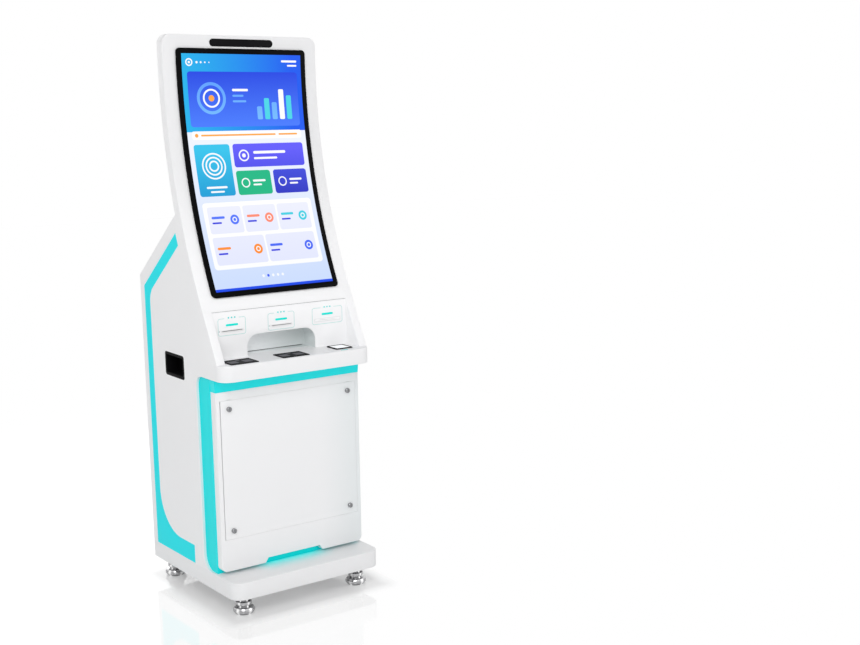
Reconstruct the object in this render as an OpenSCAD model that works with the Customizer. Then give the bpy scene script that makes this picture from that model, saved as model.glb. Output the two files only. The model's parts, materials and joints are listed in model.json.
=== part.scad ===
// Free-standing self-service kiosk: a curved portrait screen over a reader tray and a paper outlet,
// on a sheet-metal cabinet with a lift-off service hatch, a rear door and four levelling feet.
// Millimetres, +Z up, the front faces -Y, +X to the right seen from the front.
// The origin lies on the floor under the middle of the plinth.

/* [Overall] */
// Width across the side panels
body_w = 500; // [490:1:520]
// Depth of the plinth from front to rear
body_d = 535; // [525:1:560]
// Height from the floor to the top of the head
body_h = 1666; // [1650:1:1690]
// Thickness of the flat side panels
side_t = 3; // [2.5:0.1:4]
// Thickness of the folded sheet covers
sheet_t = 2.5; // [2:0.1:3]
// Gap between two covers of the same body
seam = 0.3; // [0.1:0.1:0.5]
// Gap round the rear door
door_gap = 1.2; // [0.8:0.1:2]
// Radial clearance of a turning or sliding fit
run_gap = 0.05; // [0.02:0.01:0.1]

/* [Plinth and feet] */
// Clear height under the plinth
foot_gap = 60; // [56:1:70]
// Height of the plinth
plinth_h = 52; // [48:1:60]
// Radius of the two front corners of the plinth
plinth_corner_r = 38; // [25:1:50]
// Front foot axis to the side of the plinth
foot_side = 56; // [48:1:62]
// Rear foot axis to the side of the plinth
rear_foot_side = 48; // [42:1:56]
// Front foot axis to the front of the plinth
foot_front = 59; // [52:1:75]
// Rear foot axis to the rear of the plinth
foot_rear = 42; // [38:1:55]
// Radius of the foot pad
foot_pad_r = 32; // [28:1:34]
// Radius of the foot collar
foot_collar_r = 23.5; // [20:0.5:26]
// Radius of the foot stem
foot_stem_r = 17; // [14:0.5:19]
// Height of the foot pad
foot_pad_h = 21; // [18:1:24]
// Height of the collar above the pad
foot_collar_h = 12; // [8:1:14]
// Length of stem inside the plinth
foot_stem_in = 30; // [24:1:32]
// Wall of the sockets that take the stems
socket_wall = 5; // [3:0.5:7]

/* [Front bay] */
// Height from the plinth to the underside of the tray
bay_h = 588; // [575:1:610]
// Front edge of the side panels, behind the front of the plinth
bay_setback = 187; // [175:1:200]
// Fillet of the side panel under the tray
bay_top_r = 30; // [20:1:40]
// Fillet of the side panel on the plinth
bay_bottom_r = 45; // [30:1:60]
// Width of the fold along the front edge of a side panel
fold_w = 4; // [2:0.5:6]
// Front of the coloured bulkhead, behind the front of the plinth
bulkhead_setback = 119; // [112:1:130]
// Width of the coloured flange behind the front frame
liner_flange = 24; // [20:1:30]
// Depth of the front frame
frame_d = 28; // [27:0.5:34]
// Gap between the front frame and the tray
frame_drop = 39; // [34:1:50]
// How far the coloured hood in that gap spreads at each side of its top
hood_flare = 3; // [0:0.5:6]
// Gap between the plinth and the front frame
frame_lift = 10; // [6:1:14]
// Radius of the lower corners of the front frame
frame_corner_r = 16; // [8:1:24]
// Width of the finger notch at its top
notch_top_w = 178; // [140:1:190]
// Width of the finger notch at its bottom
notch_bottom_w = 198; // [192:1:220]
// Height of the finger notch
notch_h = 15; // [10:1:22]
// Light bar to the sides of the notch
light_gap = 4; // [2:1:20]
// Height of the light bar
light_h = 12; // [8:1:16]

/* [Service hatch] */
// Frame beside the hatch opening
hatch_margin = 12.5; // [10:0.5:18]
// Frame over the hatch opening
hatch_high = 26; // [20:1:32]
// Frame under the hatch opening
hatch_low = 96; // [80:1:110]
// Gap round the hatch
hatch_gap = 0.5; // [0.4:0.1:1.5]
// Extra gap along the left edge of the hatch
hatch_left_gap = 2.1; // [0.5:0.1:2.5]
// Depth of the hatch and of the rear door
hatch_d = 18; // [15:0.5:19]
// Width of the lip behind the hatch
lip_w = 12; // [9:1:14]
// Lock axis to the side edge of the hatch opening
lock_side = 28; // [26:1:34]
// Lock axis to the upper or lower edge of the hatch opening
lock_end = 26; // [25:1:34]
// Radius of the lock head
lock_head_r = 7.5; // [6.5:0.1:8.5]
// Height of the lock head
lock_head_h = 7; // [5:0.5:7.5]
// Radius of the lock barrel
lock_barrel_r = 6; // [5:0.1:6.5]
// Length of the lock cam from the lock axis
cam_l = 33; // [32:1:36]
// Width of the lock cam
cam_w = 11; // [8:0.5:12]
// Thickness of the lock cam
cam_t = 3; // [2:0.5:4]
// Width of the keeper notches above the upper locks
keeper_w = 10; // [6:1:14]

/* [Tray] */
// Thickness of the tray
tray_t = 48; // [44:1:54]
// Front of the tray, behind the front of the plinth
tray_setback = 23; // [18:1:30]
// Radius of the front corners of the tray
tray_corner_r = 38; // [25:1:45]
// Width of a reader pad
pad_w = 88; // [80:1:92]
// Depth of a reader pad
pad_d = 66; // [60:1:70]
// Height of a reader pad above the tray
pad_h = 2; // [1:0.5:4]
// Pad centre to the front of the tray
pad_front = 42; // [39:1:46]
// Middle of the left reader pad to the left side
pad_left_side = 79; // [74:1:90]
// Sideways place of the middle reader pad
pad_mid_x = -4; // [-10:1:10]
// Middle of the code scanner to the right side
scan_side = 80; // [74:1:86]
// Code scanner to the recess panel
scan_gap = 18; // [12:0.5:22]
// Side of the square scanner frame
scan_w = 57; // [52:1:62]
// Width of the scanner frame's rim
scan_rim = 4; // [3:0.5:6]
// Height of the scanner frame above the tray
scan_h = 3; // [2:0.5:5]
// Height of the reader modules under the tray top
module_h = 30; // [24:1:34]

/* [Recess] */
// Height of the recess above the tray
recess_h = 139; // [132:1:145]
// Front of the recess panel, behind the front of the plinth
recess_setback = 124.8; // [118:0.1:132]
// Width of a cheek beside the recess
cheek_w = 26; // [22:1:32]
// Foot of the cheeks in front of the recess panel
cheek_foot = 72; // [66:1:76]
// Width of the outlet niche
niche_w = 228; // [220:1:234]
// Height of the outlet niche
niche_h = 64; // [60:1:65]
// Radius of the upper corners of the niche
niche_r = 36; // [28:1:40]
// Depth of the outlet niche
niche_d = 68; // [64:1:70]
// Height of the paper slot at the foot of the niche's back
niche_slot_h = 2; // [1.5:0.5:8]
// Paper slot to the sides of the niche
niche_slot_side = 6; // [5:0.5:12]
// Height of the slots above the outlet niche
slot_up = 18; // [17:0.5:20]
// Clear width of a receipt slot
receipt_w = 66; // [60:1:68]
// Clear height of a receipt slot
receipt_h = 2; // [1.5:0.5:4]
// Clear width of the card bezel
card_w = 86; // [80:1:90]
// Clear height of the card bezel
card_h = 5; // [3:0.5:6]
// Depth of the card bezel before the mouth of the card unit
card_mouth_d = 1; // [0.5:0.5:1.5]
// Width of the slit for a card
card_slit_w = 56; // [55:1:60]
// Height of the slit for a card
card_slit_h = 1; // [0.9:0.1:2]
// Rim of the slot bezels
bezel_rim = 3; // [2:0.5:4]
// Height of the bezels in front of the recess panel
bezel_h = 1.5; // [1:0.5:3]
// Middle of the left receipt slot to the left side
receipt_left_side = 89; // [84:1:95]
// Sideways place of the middle receipt slot
receipt_mid_x = 0; // [-4:1:4]
// Middle of the card slot to the right side
card_side = 92; // [86:1:98]
// Length of a status light
status_w = 39; // [30:1:45]
// Height of a status light
status_h = 6; // [4:0.5:7]
// Status light above the slot
status_up = 17; // [15:0.5:20]

/* [Head and screen] */
// Radius of the curved front
head_r = 1500; // [1450:10:1600]
// Thickness of the head
head_t = 34; // [32:1:40]
// Lean of the front cover at its foot, from the upright
head_lean = 28.3; // [24:0.1:30]
// Radius of the top corners of the head
head_corner_r = 28; // [20:1:36]
// Width of the screen glass
screen_w = 421; // [410:1:430]
// Foot of the screen glass above the foot of the head
screen_low = 38; // [32:1:46]
// Top of the screen glass below the top of the head
screen_top = 38; // [36:1:42]
// Radius of the corners of the screen glass
screen_corner_r = 12; // [8:1:16]
// Front of the glass before the front cover
screen_proud = 5; // [4:0.5:8]
// Thickness of the screen glass
glass_t = 3; // [2:0.5:3.5]
// Overlap of the glass over the cover's window
screen_lap = 6; // [4:0.5:8]
// Depth of the display behind the front cover
display_d = 20; // [16:1:20]
// Height of a display rail
rail_h = 40; // [30:1:50]
// Thickness of a display rail
rail_t = 6; // [4:0.5:7]
// Display rails from the ends of the glass
rail_end = 150; // [120:5:200]
// Width of the camera window
camera_w = 206; // [190:1:216]
// Height of the camera window
camera_h = 22; // [18:1:22]
// Middle of the camera window above the glass
camera_up = 16.5; // [15:0.5:18]
// Depth of the camera unit behind the front cover
camera_d = 14; // [10:1:16]

/* [Rear] */
// Height of the rear wall above the plinth
rear_h = 846; // [830:1:860]
// Rise of the shoulder from the rear wall to the head
shoulder_rise = 200; // [185:1:215]
// Height of the lower rear rail
lower_rail_h = 78; // [74:1:90]
// Height of the upper rear rail
upper_rail_h = 24; // [20:1:30]
// Rear door behind the rear edges of the panels
door_recess = 9; // [8.5:0.5:11]
// Radius of the door's pivot pins
pivot_r = 4; // [3:0.5:5]
// Length of the door's pivot pins
pivot_l = 14; // [10:1:18]
// Pivot axis to the side panel
pivot_side = 12; // [11.5:0.5:14]
// Length of a vent slot
vent_w = 120; // [90:1:140]
// Height of a vent slot
vent_h = 6; // [4:0.5:7]
// Pitch of the vent slots
vent_pitch = 16; // [14:1:20]
// Number of slots in a block of vents
vent_count = 6; // [4:1:7]
// Middle of the head's vents below its top
head_vent_drop = 150; // [130:5:180]
// Middle of the door's vents from its ends
door_vent_end = 120; // [100:5:160]
// Width of the mains inlet
inlet_w = 50; // [46:1:56]
// Height of the mains inlet
inlet_h = 50; // [46:1:54]
// Depth of the mains inlet
inlet_d = 32; // [28:1:40]
// Middle of the mains inlet to the right side
inlet_side = 100; // [80:1:120]
// Length of the rocker switch
rocker_l = 20; // [18:0.5:22]
// Width of the rocker switch
rocker_w = 12; // [10:0.5:14]

/* [Side stripe and handle] */
// Stripe to the rear edge of the side panel
stripe_rear = 27; // [22:1:34]
// Stripe to the sloped edge of the side panel
stripe_slope = 40; // [34:1:46]
// Width of the stripe
stripe_w = 37; // [30:1:44]
// Height of the stripe's foot
stripe_foot_h = 57; // [48:1:66]
// Length of the stripe's foot
stripe_foot_l = 259; // [240:1:270]
// Radius of the stripe's lower inner corner
stripe_foot_r = 130; // [110:1:150]
// Radius of the stripe's upper inner corner
stripe_bend_r = 60; // [40:1:80]
// Depth of the stripe in the side panel
stripe_t = 1; // [0.6:0.1:1.4]
// Width of the hand grip
grip_w = 125; // [115:1:132]
// Height of the hand grip
grip_h = 72; // [66:1:78]
// Middle of the hand grip below the top of the tray
grip_drop = 40; // [32:1:48]
// Middle of the hand grip behind the middle of the plinth
grip_y = 57; // [50:1:64]
// Corner radius of the hand grip
grip_r = 9; // [6:1:12]
// Depth of the hand grip
grip_d = 42; // [36:1:46]
// Rim of the hand grip
grip_rim = 6; // [5:0.5:8]

/* [Inside] */
// Shelf below the hand grips
shelf_gap = 8; // [4:1:14]
// Shelf to the front edge of the side panels
shelf_front = 20; // [18:1:40]
// Shelf to the rear door
shelf_rear = 20; // [12:1:40]
// Gap between the report printer and a hand grip
printer_side = 18; // [10:1:30]
// Gap between the report printer and the rear door
printer_rear = 21; // [12:1:40]
// Height of the report printer
printer_h = 190; // [180:1:195]
// Gap between the niche and the report printer
printer_gap = 14; // [12:1:16]
// Radius of a full paper roll
roll_r = 23; // [20:0.5:24]
// Width of a paper roll
roll_w = 57; // [55:0.5:58]
// Radius of the paper roll's core
core_r = 6; // [5:0.5:7]
// Depth of the head of a receipt printer
receipt_head_d = 14; // [10:1:18]
// Gap round a paper roll
roll_gap = 3; // [2:0.5:5]
// Width of the computer
computer_w = 200; // [180:1:210]
// Depth of the computer
computer_d = 190; // [170:1:200]
// Height of the computer
computer_h = 55; // [45:1:65]
// Width of the power supply
supply_w = 110; // [100:1:120]
// Depth of the power supply
supply_d = 180; // [160:1:190]
// Height of the power supply
supply_h = 60; // [50:1:70]

/* [Hidden] */
$fn = 48;

// Steps of the large circle of the curved head, and of an arc inside an outline
arc_steps = 1080;
bend_steps = 12;
// Overlap of a cutting tool past the face that it cuts
cut = 1;

// Colours
white = [0.93, 0.93, 0.94];
teal = [0.16, 0.82, 0.85];
black = [0.05, 0.05, 0.06];
chrome = [0.75, 0.75, 0.77];
grey = [0.45, 0.46, 0.48];
zinc = [0.62, 0.64, 0.66];
paper = [0.95, 0.94, 0.9];

// Levels, from the floor up
deck_z = foot_gap + plinth_h;
tray_low_z = deck_z + bay_h;
tray_z = tray_low_z + tray_t;
recess_z = tray_z + recess_h;
rear_top_z = deck_z + rear_h;
neck_z = rear_top_z + shoulder_rise;

// Planes, from the front to the rear
front_y = -body_d / 2;
rear_y = body_d / 2;
tray_front_y = front_y + tray_setback;
bulkhead_y = front_y + bulkhead_setback;
frame_y = bulkhead_y - frame_d;
bay_y = front_y + bay_setback;
door_y = rear_y - door_recess;

// Sideways planes
side_x = body_w / 2;
inner_x = side_x - side_t;
liner_x = inner_x - fold_w;
pad_left_x = -side_x + pad_left_side;
scan_x = side_x - scan_side;
receipt_left_x = -side_x + receipt_left_side;
card_x = side_x - card_side;
inlet_x = side_x - inlet_side;
recess_w = 2 * (side_x - cheek_w);

// Centre of the curved front, and the curve at a height
recess_y = front_y + recess_setback;
arc_y = recess_y - head_r * cos(head_lean);
arc_z = recess_z + head_r * sin(head_lean);
head_back_r = head_r + head_t;
function curve_y(r, z) = arc_y + sqrt(r * r - (arc_z - z) * (arc_z - z));
mid_y = curve_y(head_back_r, recess_z);
neck_y = curve_y(head_back_r, neck_z);
niche_y = recess_y + niche_d;
niche_slot_half = niche_w / 2 - niche_slot_side;

// Ends of the screen glass
screen_high_z = body_h - screen_top;
screen_low_z = recess_z + screen_low;
screen_mid_z = (screen_high_z + screen_low_z) / 2;
screen_h = screen_high_z - screen_low_z;
camera_z = screen_high_z + camera_up;

// Front frame and hatch
frame_z = deck_z + frame_lift;
frame_top_z = tray_low_z - frame_drop;
frame_h = frame_top_z - frame_z;
frame_w = 2 * (liner_x - sheet_t);
hatch_w = frame_w - 2 * hatch_margin;
hatch_z = frame_z + hatch_low;
hatch_top_z = frame_top_z - hatch_high;
hatch_h = hatch_top_z - hatch_z;
light_w = notch_top_w - 2 * light_gap;
lip_y = frame_y + hatch_d + 2 * seam;
cam_depth = hatch_d + 2 * seam + sheet_t + 1;

// Rear door
door_low_z = deck_z + lower_rail_h + door_gap;
door_high_z = rear_top_z - upper_rail_h - door_gap;
pivot_x = -inner_x + pivot_side;
pivot_y = door_y - hatch_d / 2 + 1;
hinge_edge = 6;
door_left_x = pivot_x - hinge_edge;
door_right_x = inner_x - 2 * door_gap;
pivot_block = 14;
pin_root = sheet_t / 2;
hinge_sweep = norm([hinge_edge, pivot_y - door_y + hatch_d]);
stop_w = 16;
stop_y = door_y - hatch_d - 2 * seam;
jamb_y = pivot_y - hinge_sweep - 2 * seam;
rear_lock_x = inner_x - cam_l - 4;
rear_lock_z = (door_low_z + door_high_z) / 2;

// Shoulder slope, and a line below it at a square distance
shoulder_slope = (rear_top_z - neck_z) / (rear_y - neck_y);
shoulder_a = atan(-shoulder_slope);
function under_shoulder(y, d) = neck_z + shoulder_slope * (y - neck_y) - d / cos(shoulder_a);

// Levels of the slots and the inside
slot_mid_z = tray_z + niche_h + slot_up;
grip_mid_z = tray_z - grip_drop;
shelf_z = grip_mid_z - grip_h / 2 - shelf_gap;
printer_y = niche_y + printer_gap;
printer_rear_y = door_y - hatch_d - printer_rear;
printer_half = side_x - grip_d - printer_side;
roll_y = recess_y + sheet_t + receipt_head_d + roll_gap + roll_r;
roll_z = slot_mid_z + roll_r - 2;
status_z = slot_mid_z + status_up;

// Points of an arc about a centre
function arc_points(c, r, a0, a1) =
    [for (i = [0:bend_steps]) c + r * [cos(a0 + (a1 - a0) * i / bend_steps),
                                       sin(a0 + (a1 - a0) * i / bend_steps)]];

// A side-view outline, given as (y, z), from x0 over a thickness t
module from_side(x0, t) {
    translate([x0, 0, 0]) rotate([90, 0, 90]) linear_extrude(t) children();
}

// A front-view outline, given as (x, z), from y0 over a thickness t
module from_front(y0, t) {
    translate([0, y0 + t, 0]) rotate([90, 0, 0]) linear_extrude(t) children();
}

// A block between two corners
module block(a, b) {
    translate(a) cube(b - a);
}

// A rectangle with round corners about its middle
module round_rect(w, h, r) {
    square([w - 2 * r, h], center = true);
    square([w, h - 2 * r], center = true);
    for (x = [-1, 1], y = [-1, 1])
        translate([x * (w / 2 - r), y * (h / 2 - r)]) circle(r);
}

// A plan with two round corners at the front
module front_round_plan(w, y0, y1, r) {
    translate([-w / 2, y0 + r]) square([w, y1 - y0 - r]);
    translate([-w / 2 + r, y0]) square([w - 2 * r, y1 - y0]);
    for (x = [-1, 1]) translate([x * (w / 2 - r), y0 + r]) circle(r);
}

// An arch with two round upper corners and its foot at the origin
module arch(w, h, r) {
    intersection() {
        translate([-w / 2, 0]) square([w, h]);
        union() {
            translate([-w / 2, 0]) square([w, h - r]);
            translate([-w / 2 + r, 0]) square([w - 2 * r, h]);
            for (x = [-1, 1]) translate([x * (w / 2 - r), h - r]) circle(r);
        }
    }
}

// A slab that follows the curved front between two radii and two heights
module curved_slab(r0, r1, z0, z1, w) {
    rotate([90, 0, 90]) linear_extrude(w, center = true) intersection() {
        translate([arc_y, arc_z]) difference() {
            circle(r1, $fn = arc_steps);
            circle(r0, $fn = arc_steps);
        }
        translate([arc_y + head_r / 2, z0]) square([head_r, z1 - z0]);
    }
}

// A front-view outline taken through the whole depth
module through() {
    from_front(front_y, body_d) children();
}

// The outline of the head, drawn in by a wall
module head_outline(wall) {
    translate([0, recess_z - cut])
        arch(body_w - 2 * wall, body_h - wall - recess_z + cut, head_corner_r - wall);
}

// The outline of the screen, drawn in by an edge
module screen_outline(edge, r) {
    translate([0, screen_mid_z]) round_rect(screen_w - 2 * edge, screen_h - 2 * edge, r);
}

// Plinth: an open tray turned upside down
module base_plinth() {
    color(white) translate([0, 0, foot_gap]) difference() {
        linear_extrude(plinth_h) front_round_plan(body_w, front_y, rear_y, plinth_corner_r);
        translate([0, 0, -cut]) linear_extrude(plinth_h - sheet_t + cut)
            front_round_plan(body_w - 2 * sheet_t, front_y + sheet_t, rear_y - sheet_t,
                             plinth_corner_r - sheet_t);
    }
}

// Places of the feet
module at_foot(x, y) {
    foot_x = x * (side_x - (y < 0 ? foot_side : rear_foot_side));
    foot_y = y < 0 ? front_y + foot_front : rear_y - foot_rear;
    translate([foot_x, foot_y, 0]) children();
}

// Sockets welded under the deck, one over each foot
module foot_sockets() {
    socket_h = plinth_h - sheet_t;
    color(zinc) for (x = [-1, 1], y = [-1, 1]) at_foot(x, y) translate([0, 0, foot_gap])
        difference() {
            cylinder(h = socket_h, r = foot_stem_r + run_gap + socket_wall);
            translate([0, 0, -cut]) cylinder(h = socket_h + 2 * cut, r = foot_stem_r + run_gap);
        }
}

// Levelling foot: flared pad, neck, collar and stem, turned in one piece
module foot(x, y) {
    edge = 2;
    flare = foot_pad_r / 5;
    neck = 5;
    neck_r = foot_stem_r + 1.5;
    collar_z = foot_pad_h + neck;
    collar_top_z = collar_z + foot_collar_h;
    color(chrome) at_foot(x, y) rotate_extrude() polygon([
        [0, 0], [foot_pad_r - flare, 0], [foot_pad_r - edge / 2, flare], [foot_pad_r, flare + edge],
        [foot_pad_r, foot_pad_h - flare - edge], [foot_pad_r - flare / 2, foot_pad_h - edge],
        [foot_pad_r - flare, foot_pad_h], [neck_r, foot_pad_h], [neck_r, collar_z],
        [foot_collar_r, collar_z + edge], [foot_collar_r, collar_top_z - edge],
        [foot_collar_r - edge, collar_top_z], [foot_stem_r, collar_top_z],
        [foot_stem_r, foot_gap + foot_stem_in], [0, foot_gap + foot_stem_in]]);
}

module front_left_foot() { foot(-1, -1); }
module front_right_foot() { foot(1, -1); }
module rear_left_foot() { foot(-1, 1); }
module rear_right_foot() { foot(1, 1); }

// Side view of a side panel: bay edge with its two fillets, rear edge, shoulder and curved head
module side_outline() {
    difference() {
        polygon([[bay_y, deck_z], [rear_y, deck_z], [rear_y, rear_top_z], [neck_y, neck_z],
                 [mid_y, recess_z], [mid_y, tray_low_z], [bay_y, tray_low_z]]);
        translate([arc_y, arc_z]) circle(head_back_r, $fn = arc_steps);
    }
    translate([bay_y - bay_top_r, tray_low_z - bay_top_r]) difference() {
        square(bay_top_r);
        circle(bay_top_r);
    }
    translate([bay_y - bay_bottom_r, deck_z]) difference() {
        square(bay_bottom_r);
        translate([0, bay_bottom_r]) circle(bay_bottom_r);
    }
}

// Side view of the stripe: down the shoulder, down the rear edge and forward along the plinth
module stripe_outline(play) {
    outer_y = rear_y - stripe_rear - play;
    inner_y = rear_y - stripe_rear - stripe_w + play;
    foot_z = deck_z + stripe_foot_h - play;
    foot_y = rear_y - stripe_rear - stripe_foot_l + play;
    bend_y = inner_y - stripe_bend_r;
    inner_d = stripe_slope + stripe_w - play;
    top_y = neck_y + 3 + play;
    low_y = neck_y - 11 + play;
    polygon(concat(
        [[top_y, under_shoulder(top_y, stripe_slope + play)],
         [outer_y, under_shoulder(outer_y, stripe_slope + play)],
         [outer_y, deck_z], [foot_y, deck_z], [foot_y, foot_z]],
        arc_points([inner_y - stripe_foot_r, foot_z + stripe_foot_r], stripe_foot_r, -90, 0),
        arc_points([bend_y, under_shoulder(bend_y, inner_d + stripe_bend_r)], stripe_bend_r,
                   0, 90 - shoulder_a),
        [[low_y, under_shoulder(low_y, inner_d)]]));
}

// The hand grip's outline in its place
module grip_outline(edge, r) {
    translate([grip_y, grip_mid_z]) round_rect(grip_w - 2 * edge, grip_h - 2 * edge, r);
}

// A quarter of the fold round a fillet, about the middle of the fillet
module fold_bend(r) {
    intersection() {
        difference() {
            circle(r + sheet_t);
            circle(r);
        }
        square([r + sheet_t, r]);
    }
}

// Side view of the fold along the front edge of a side panel
module fold_outline() {
    translate([bay_y, deck_z + bay_bottom_r])
        square([sheet_t, bay_h - bay_bottom_r - bay_top_r]);
    translate([bay_y - bay_top_r, tray_low_z - bay_top_r]) fold_bend(bay_top_r);
    translate([bay_y - bay_bottom_r, deck_z + bay_bottom_r]) mirror([0, 1]) fold_bend(bay_bottom_r);
}

// Flat side panel with the pocket of its stripe, the seat of its hand grip and a folded front edge
module side_panel() {
    rim_t = side_t / 2;
    color(white) from_side(liner_x, fold_w + side_t / 2) fold_outline();
    color(white) difference() {
        from_side(inner_x, side_t) side_outline();
        from_side(side_x - stripe_t, stripe_t + cut) stripe_outline(0);
        from_side(side_x - rim_t, rim_t + cut) grip_outline(0, grip_r);
        from_side(inner_x - cut, side_t + 2 * cut) grip_outline(grip_rim, grip_r - grip_rim / 2);
    }
}

// Upright strip inside a side panel, in front of the rear door
module door_strip(y) {
    color(white) block([inner_x - stop_w, y - sheet_t, door_low_z],
                       [inner_x + side_t / 4, y, door_high_z]);
}

// The left panel also carries a strip that covers the gap at the door's hinge
module left_side_panel() {
    mirror([1, 0, 0]) {
        side_panel();
        door_strip(jamb_y);
    }
}

// The right panel also carries the stop that the rear door closes on
module right_side_panel() {
    side_panel();
    door_strip(stop_y);
}

module stripe() {
    color(teal) from_side(side_x - stripe_t, stripe_t) stripe_outline(seam / 6);
}

module left_stripe() { mirror([1, 0, 0]) stripe(); }
module right_stripe() { stripe(); }

// Moulded grip: a rim let into the panel and a cup behind it
module hand_grip() {
    rim_t = side_t / 2;
    wall = 2.5;
    cup_r = grip_r - grip_rim / 2 - seam;
    color(black) difference() {
        union() {
            from_side(side_x - rim_t, rim_t) grip_outline(seam / 6, grip_r);
            from_side(side_x - grip_d, grip_d) grip_outline(grip_rim + seam, cup_r);
        }
        from_side(side_x - grip_d + wall, grip_d)
            grip_outline(grip_rim + seam + wall, cup_r - wall);
    }
}

module left_hand_grip() { mirror([1, 0, 0]) hand_grip(); }
module right_hand_grip() { hand_grip(); }

// Coloured angle behind the edge of a side panel
module liner() {
    lap = 16;
    color(teal) {
        block([liner_x - sheet_t, bulkhead_y, deck_z], [liner_x, bay_y + lap, tray_low_z]);
        block([liner_x - liner_flange, bulkhead_y, deck_z],
              [liner_x, bulkhead_y + sheet_t, tray_low_z]);
    }
}

module left_liner() { mirror([1, 0, 0]) liner(); }
module right_liner() { liner(); }

// Front view of the coloured hood, drawn in by a wall
module hood_outline(wall) {
    low = frame_w / 2 - wall;
    high = low + hood_flare;
    polygon([[-low, frame_top_z], [low, frame_top_z], [high, tray_low_z], [-high, tray_low_z]]);
}

// Coloured hood on the front frame, up to the tray: front, ends, floor and a sheet behind them
module top_liner() {
    half = liner_x - liner_flange;
    floor_z = frame_top_z + sheet_t;
    color(teal) {
        difference() {
            from_front(frame_y, frame_d) hood_outline(0);
            translate([0, 0, sheet_t]) from_front(frame_y + sheet_t, frame_d) hood_outline(sheet_t);
        }
        block([-half, bulkhead_y, frame_top_z], [half, bulkhead_y + sheet_t, tray_low_z]);
        block([-half, frame_y + sheet_t, frame_top_z], [half, bulkhead_y + sheet_t, floor_z]);
    }
}

// Coloured plate that shows through the notch
module bottom_liner() {
    half = liner_x - liner_flange;
    over = 20;
    high_z = frame_z + notch_h + over;
    color(teal) block([-half, bulkhead_y, deck_z], [half, bulkhead_y + sheet_t, high_z]);
}

// Light bar behind the notch
module kick_light() {
    depth = 10;
    low_z = deck_z + 6;
    color(teal) block([-light_w / 2, bulkhead_y - depth, low_z],
                      [light_w / 2, bulkhead_y, low_z + light_h]);
}

// Front view of the front frame: two round lower corners and the notch
module frame_outline(wall) {
    r = frame_corner_r - wall;
    w = frame_w - 2 * wall;
    difference() {
        translate([0, frame_top_z - wall]) mirror([0, 1]) arch(w, frame_h - 2 * wall, r);
        polygon([[-notch_bottom_w / 2 - wall, frame_z - cut], [-notch_bottom_w / 2 - wall, frame_z],
                 [-notch_top_w / 2 - wall, frame_z + notch_h + wall],
                 [notch_top_w / 2 + wall, frame_z + notch_h + wall],
                 [notch_bottom_w / 2 + wall, frame_z], [notch_bottom_w / 2 + wall, frame_z - cut]]);
    }
}

// A hatch opening, drawn in by an edge
module hatch_opening(edge) {
    translate([-hatch_w / 2 + edge, hatch_z + edge])
        square([hatch_w - 2 * edge, hatch_h - 2 * edge]);
}

// Front frame: a pan with the hatch opening, a return round it and a lip that the locks grip
module front_frame() {
    color(white) {
        difference() {
            from_front(frame_y, frame_d) frame_outline(0);
            from_front(frame_y + sheet_t, frame_d) frame_outline(sheet_t);
            from_front(frame_y - cut, frame_d) hatch_opening(0);
            for (x = [-1, 1]) translate([x * (hatch_w / 2 - lock_side), 0, hatch_top_z])
                block([-keeper_w / 2, frame_y - cut, -cut], [keeper_w / 2, frame_y + sheet_t + cut, 2]);
        }
        difference() {
            from_front(frame_y + sheet_t, lip_y - frame_y) hatch_opening(-sheet_t);
            from_front(frame_y, lip_y - frame_y) hatch_opening(0);
            from_front(frame_y, frame_d) hatch_opening(lip_w);
        }
    }
}

// A folded pan between two corners in the front view, open towards +Y
module pan(x0, x1, z0, z1, y0, depth) {
    difference() {
        block([x0, y0, z0], [x1, y0 + depth, z1]);
        block([x0 + sheet_t, y0 + sheet_t, z0 + sheet_t],
              [x1 - sheet_t, y0 + depth + cut, z1 - sheet_t]);
    }
}

// Service hatch: a pan with a bore for each lock
module service_hatch() {
    color(white) difference() {
        pan(-hatch_w / 2 + hatch_gap + hatch_left_gap, hatch_w / 2 - hatch_gap,
            hatch_z + hatch_gap, hatch_top_z - hatch_gap, frame_y, hatch_d);
        for (x = [-1, 1], z = [-1, 1]) at_hatch_lock(x, z)
            translate([0, 0, -sheet_t - cut])
                cylinder(h = sheet_t + 2 * cut, r = lock_barrel_r + run_gap);
    }
}

// Places of the hatch locks, with the lock's own +Z out of the front
module at_hatch_lock(x, z) {
    mid_z = (hatch_z + hatch_top_z) / 2;
    translate([x * (hatch_w / 2 - lock_side), frame_y, mid_z + z * (hatch_h / 2 - lock_end)])
        rotate([90, 0, 0]) children();
}

// Quarter-turn lock: slotted head, barrel and cam, with the cam along its own +X
module lock() {
    slot_w = 2;
    slot_d = 2.5;
    cam_low = -cam_depth - cam_t;
    color(grey) difference() {
        union() {
            translate([0, 0, seam]) cylinder(h = lock_head_h - 1, r = lock_head_r);
            translate([0, 0, seam + lock_head_h - 1])
                cylinder(h = 1, r1 = lock_head_r, r2 = lock_head_r - 1);
            translate([0, 0, cam_low]) cylinder(h = seam - cam_low + cut, r = lock_barrel_r);
            translate([0, -cam_w / 2, cam_low]) cube([cam_l - cam_w / 2, cam_w, cam_t]);
            translate([cam_l - cam_w / 2, 0, cam_low]) cylinder(h = cam_t, r = cam_w / 2);
        }
        translate([-slot_w / 2, -lock_barrel_r + 1, seam + lock_head_h - slot_d])
            cube([slot_w, 2 * lock_barrel_r - 2, slot_d + cut]);
    }
}

module upper_left_lock() { at_hatch_lock(-1, 1) lock(); }
module upper_right_lock() { at_hatch_lock(1, 1) rotate([0, 0, 180]) lock(); }
module lower_left_lock() { at_hatch_lock(-1, -1) lock(); }
module lower_right_lock() { at_hatch_lock(1, -1) rotate([0, 0, 180]) lock(); }

// Places of the devices on the tray
module at_pad(x) { translate([x, tray_front_y + pad_front, tray_z]) children(); }
module at_scanner() { translate([scan_x, recess_y - scan_gap - scan_w / 2, tray_z]) children(); }

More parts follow.
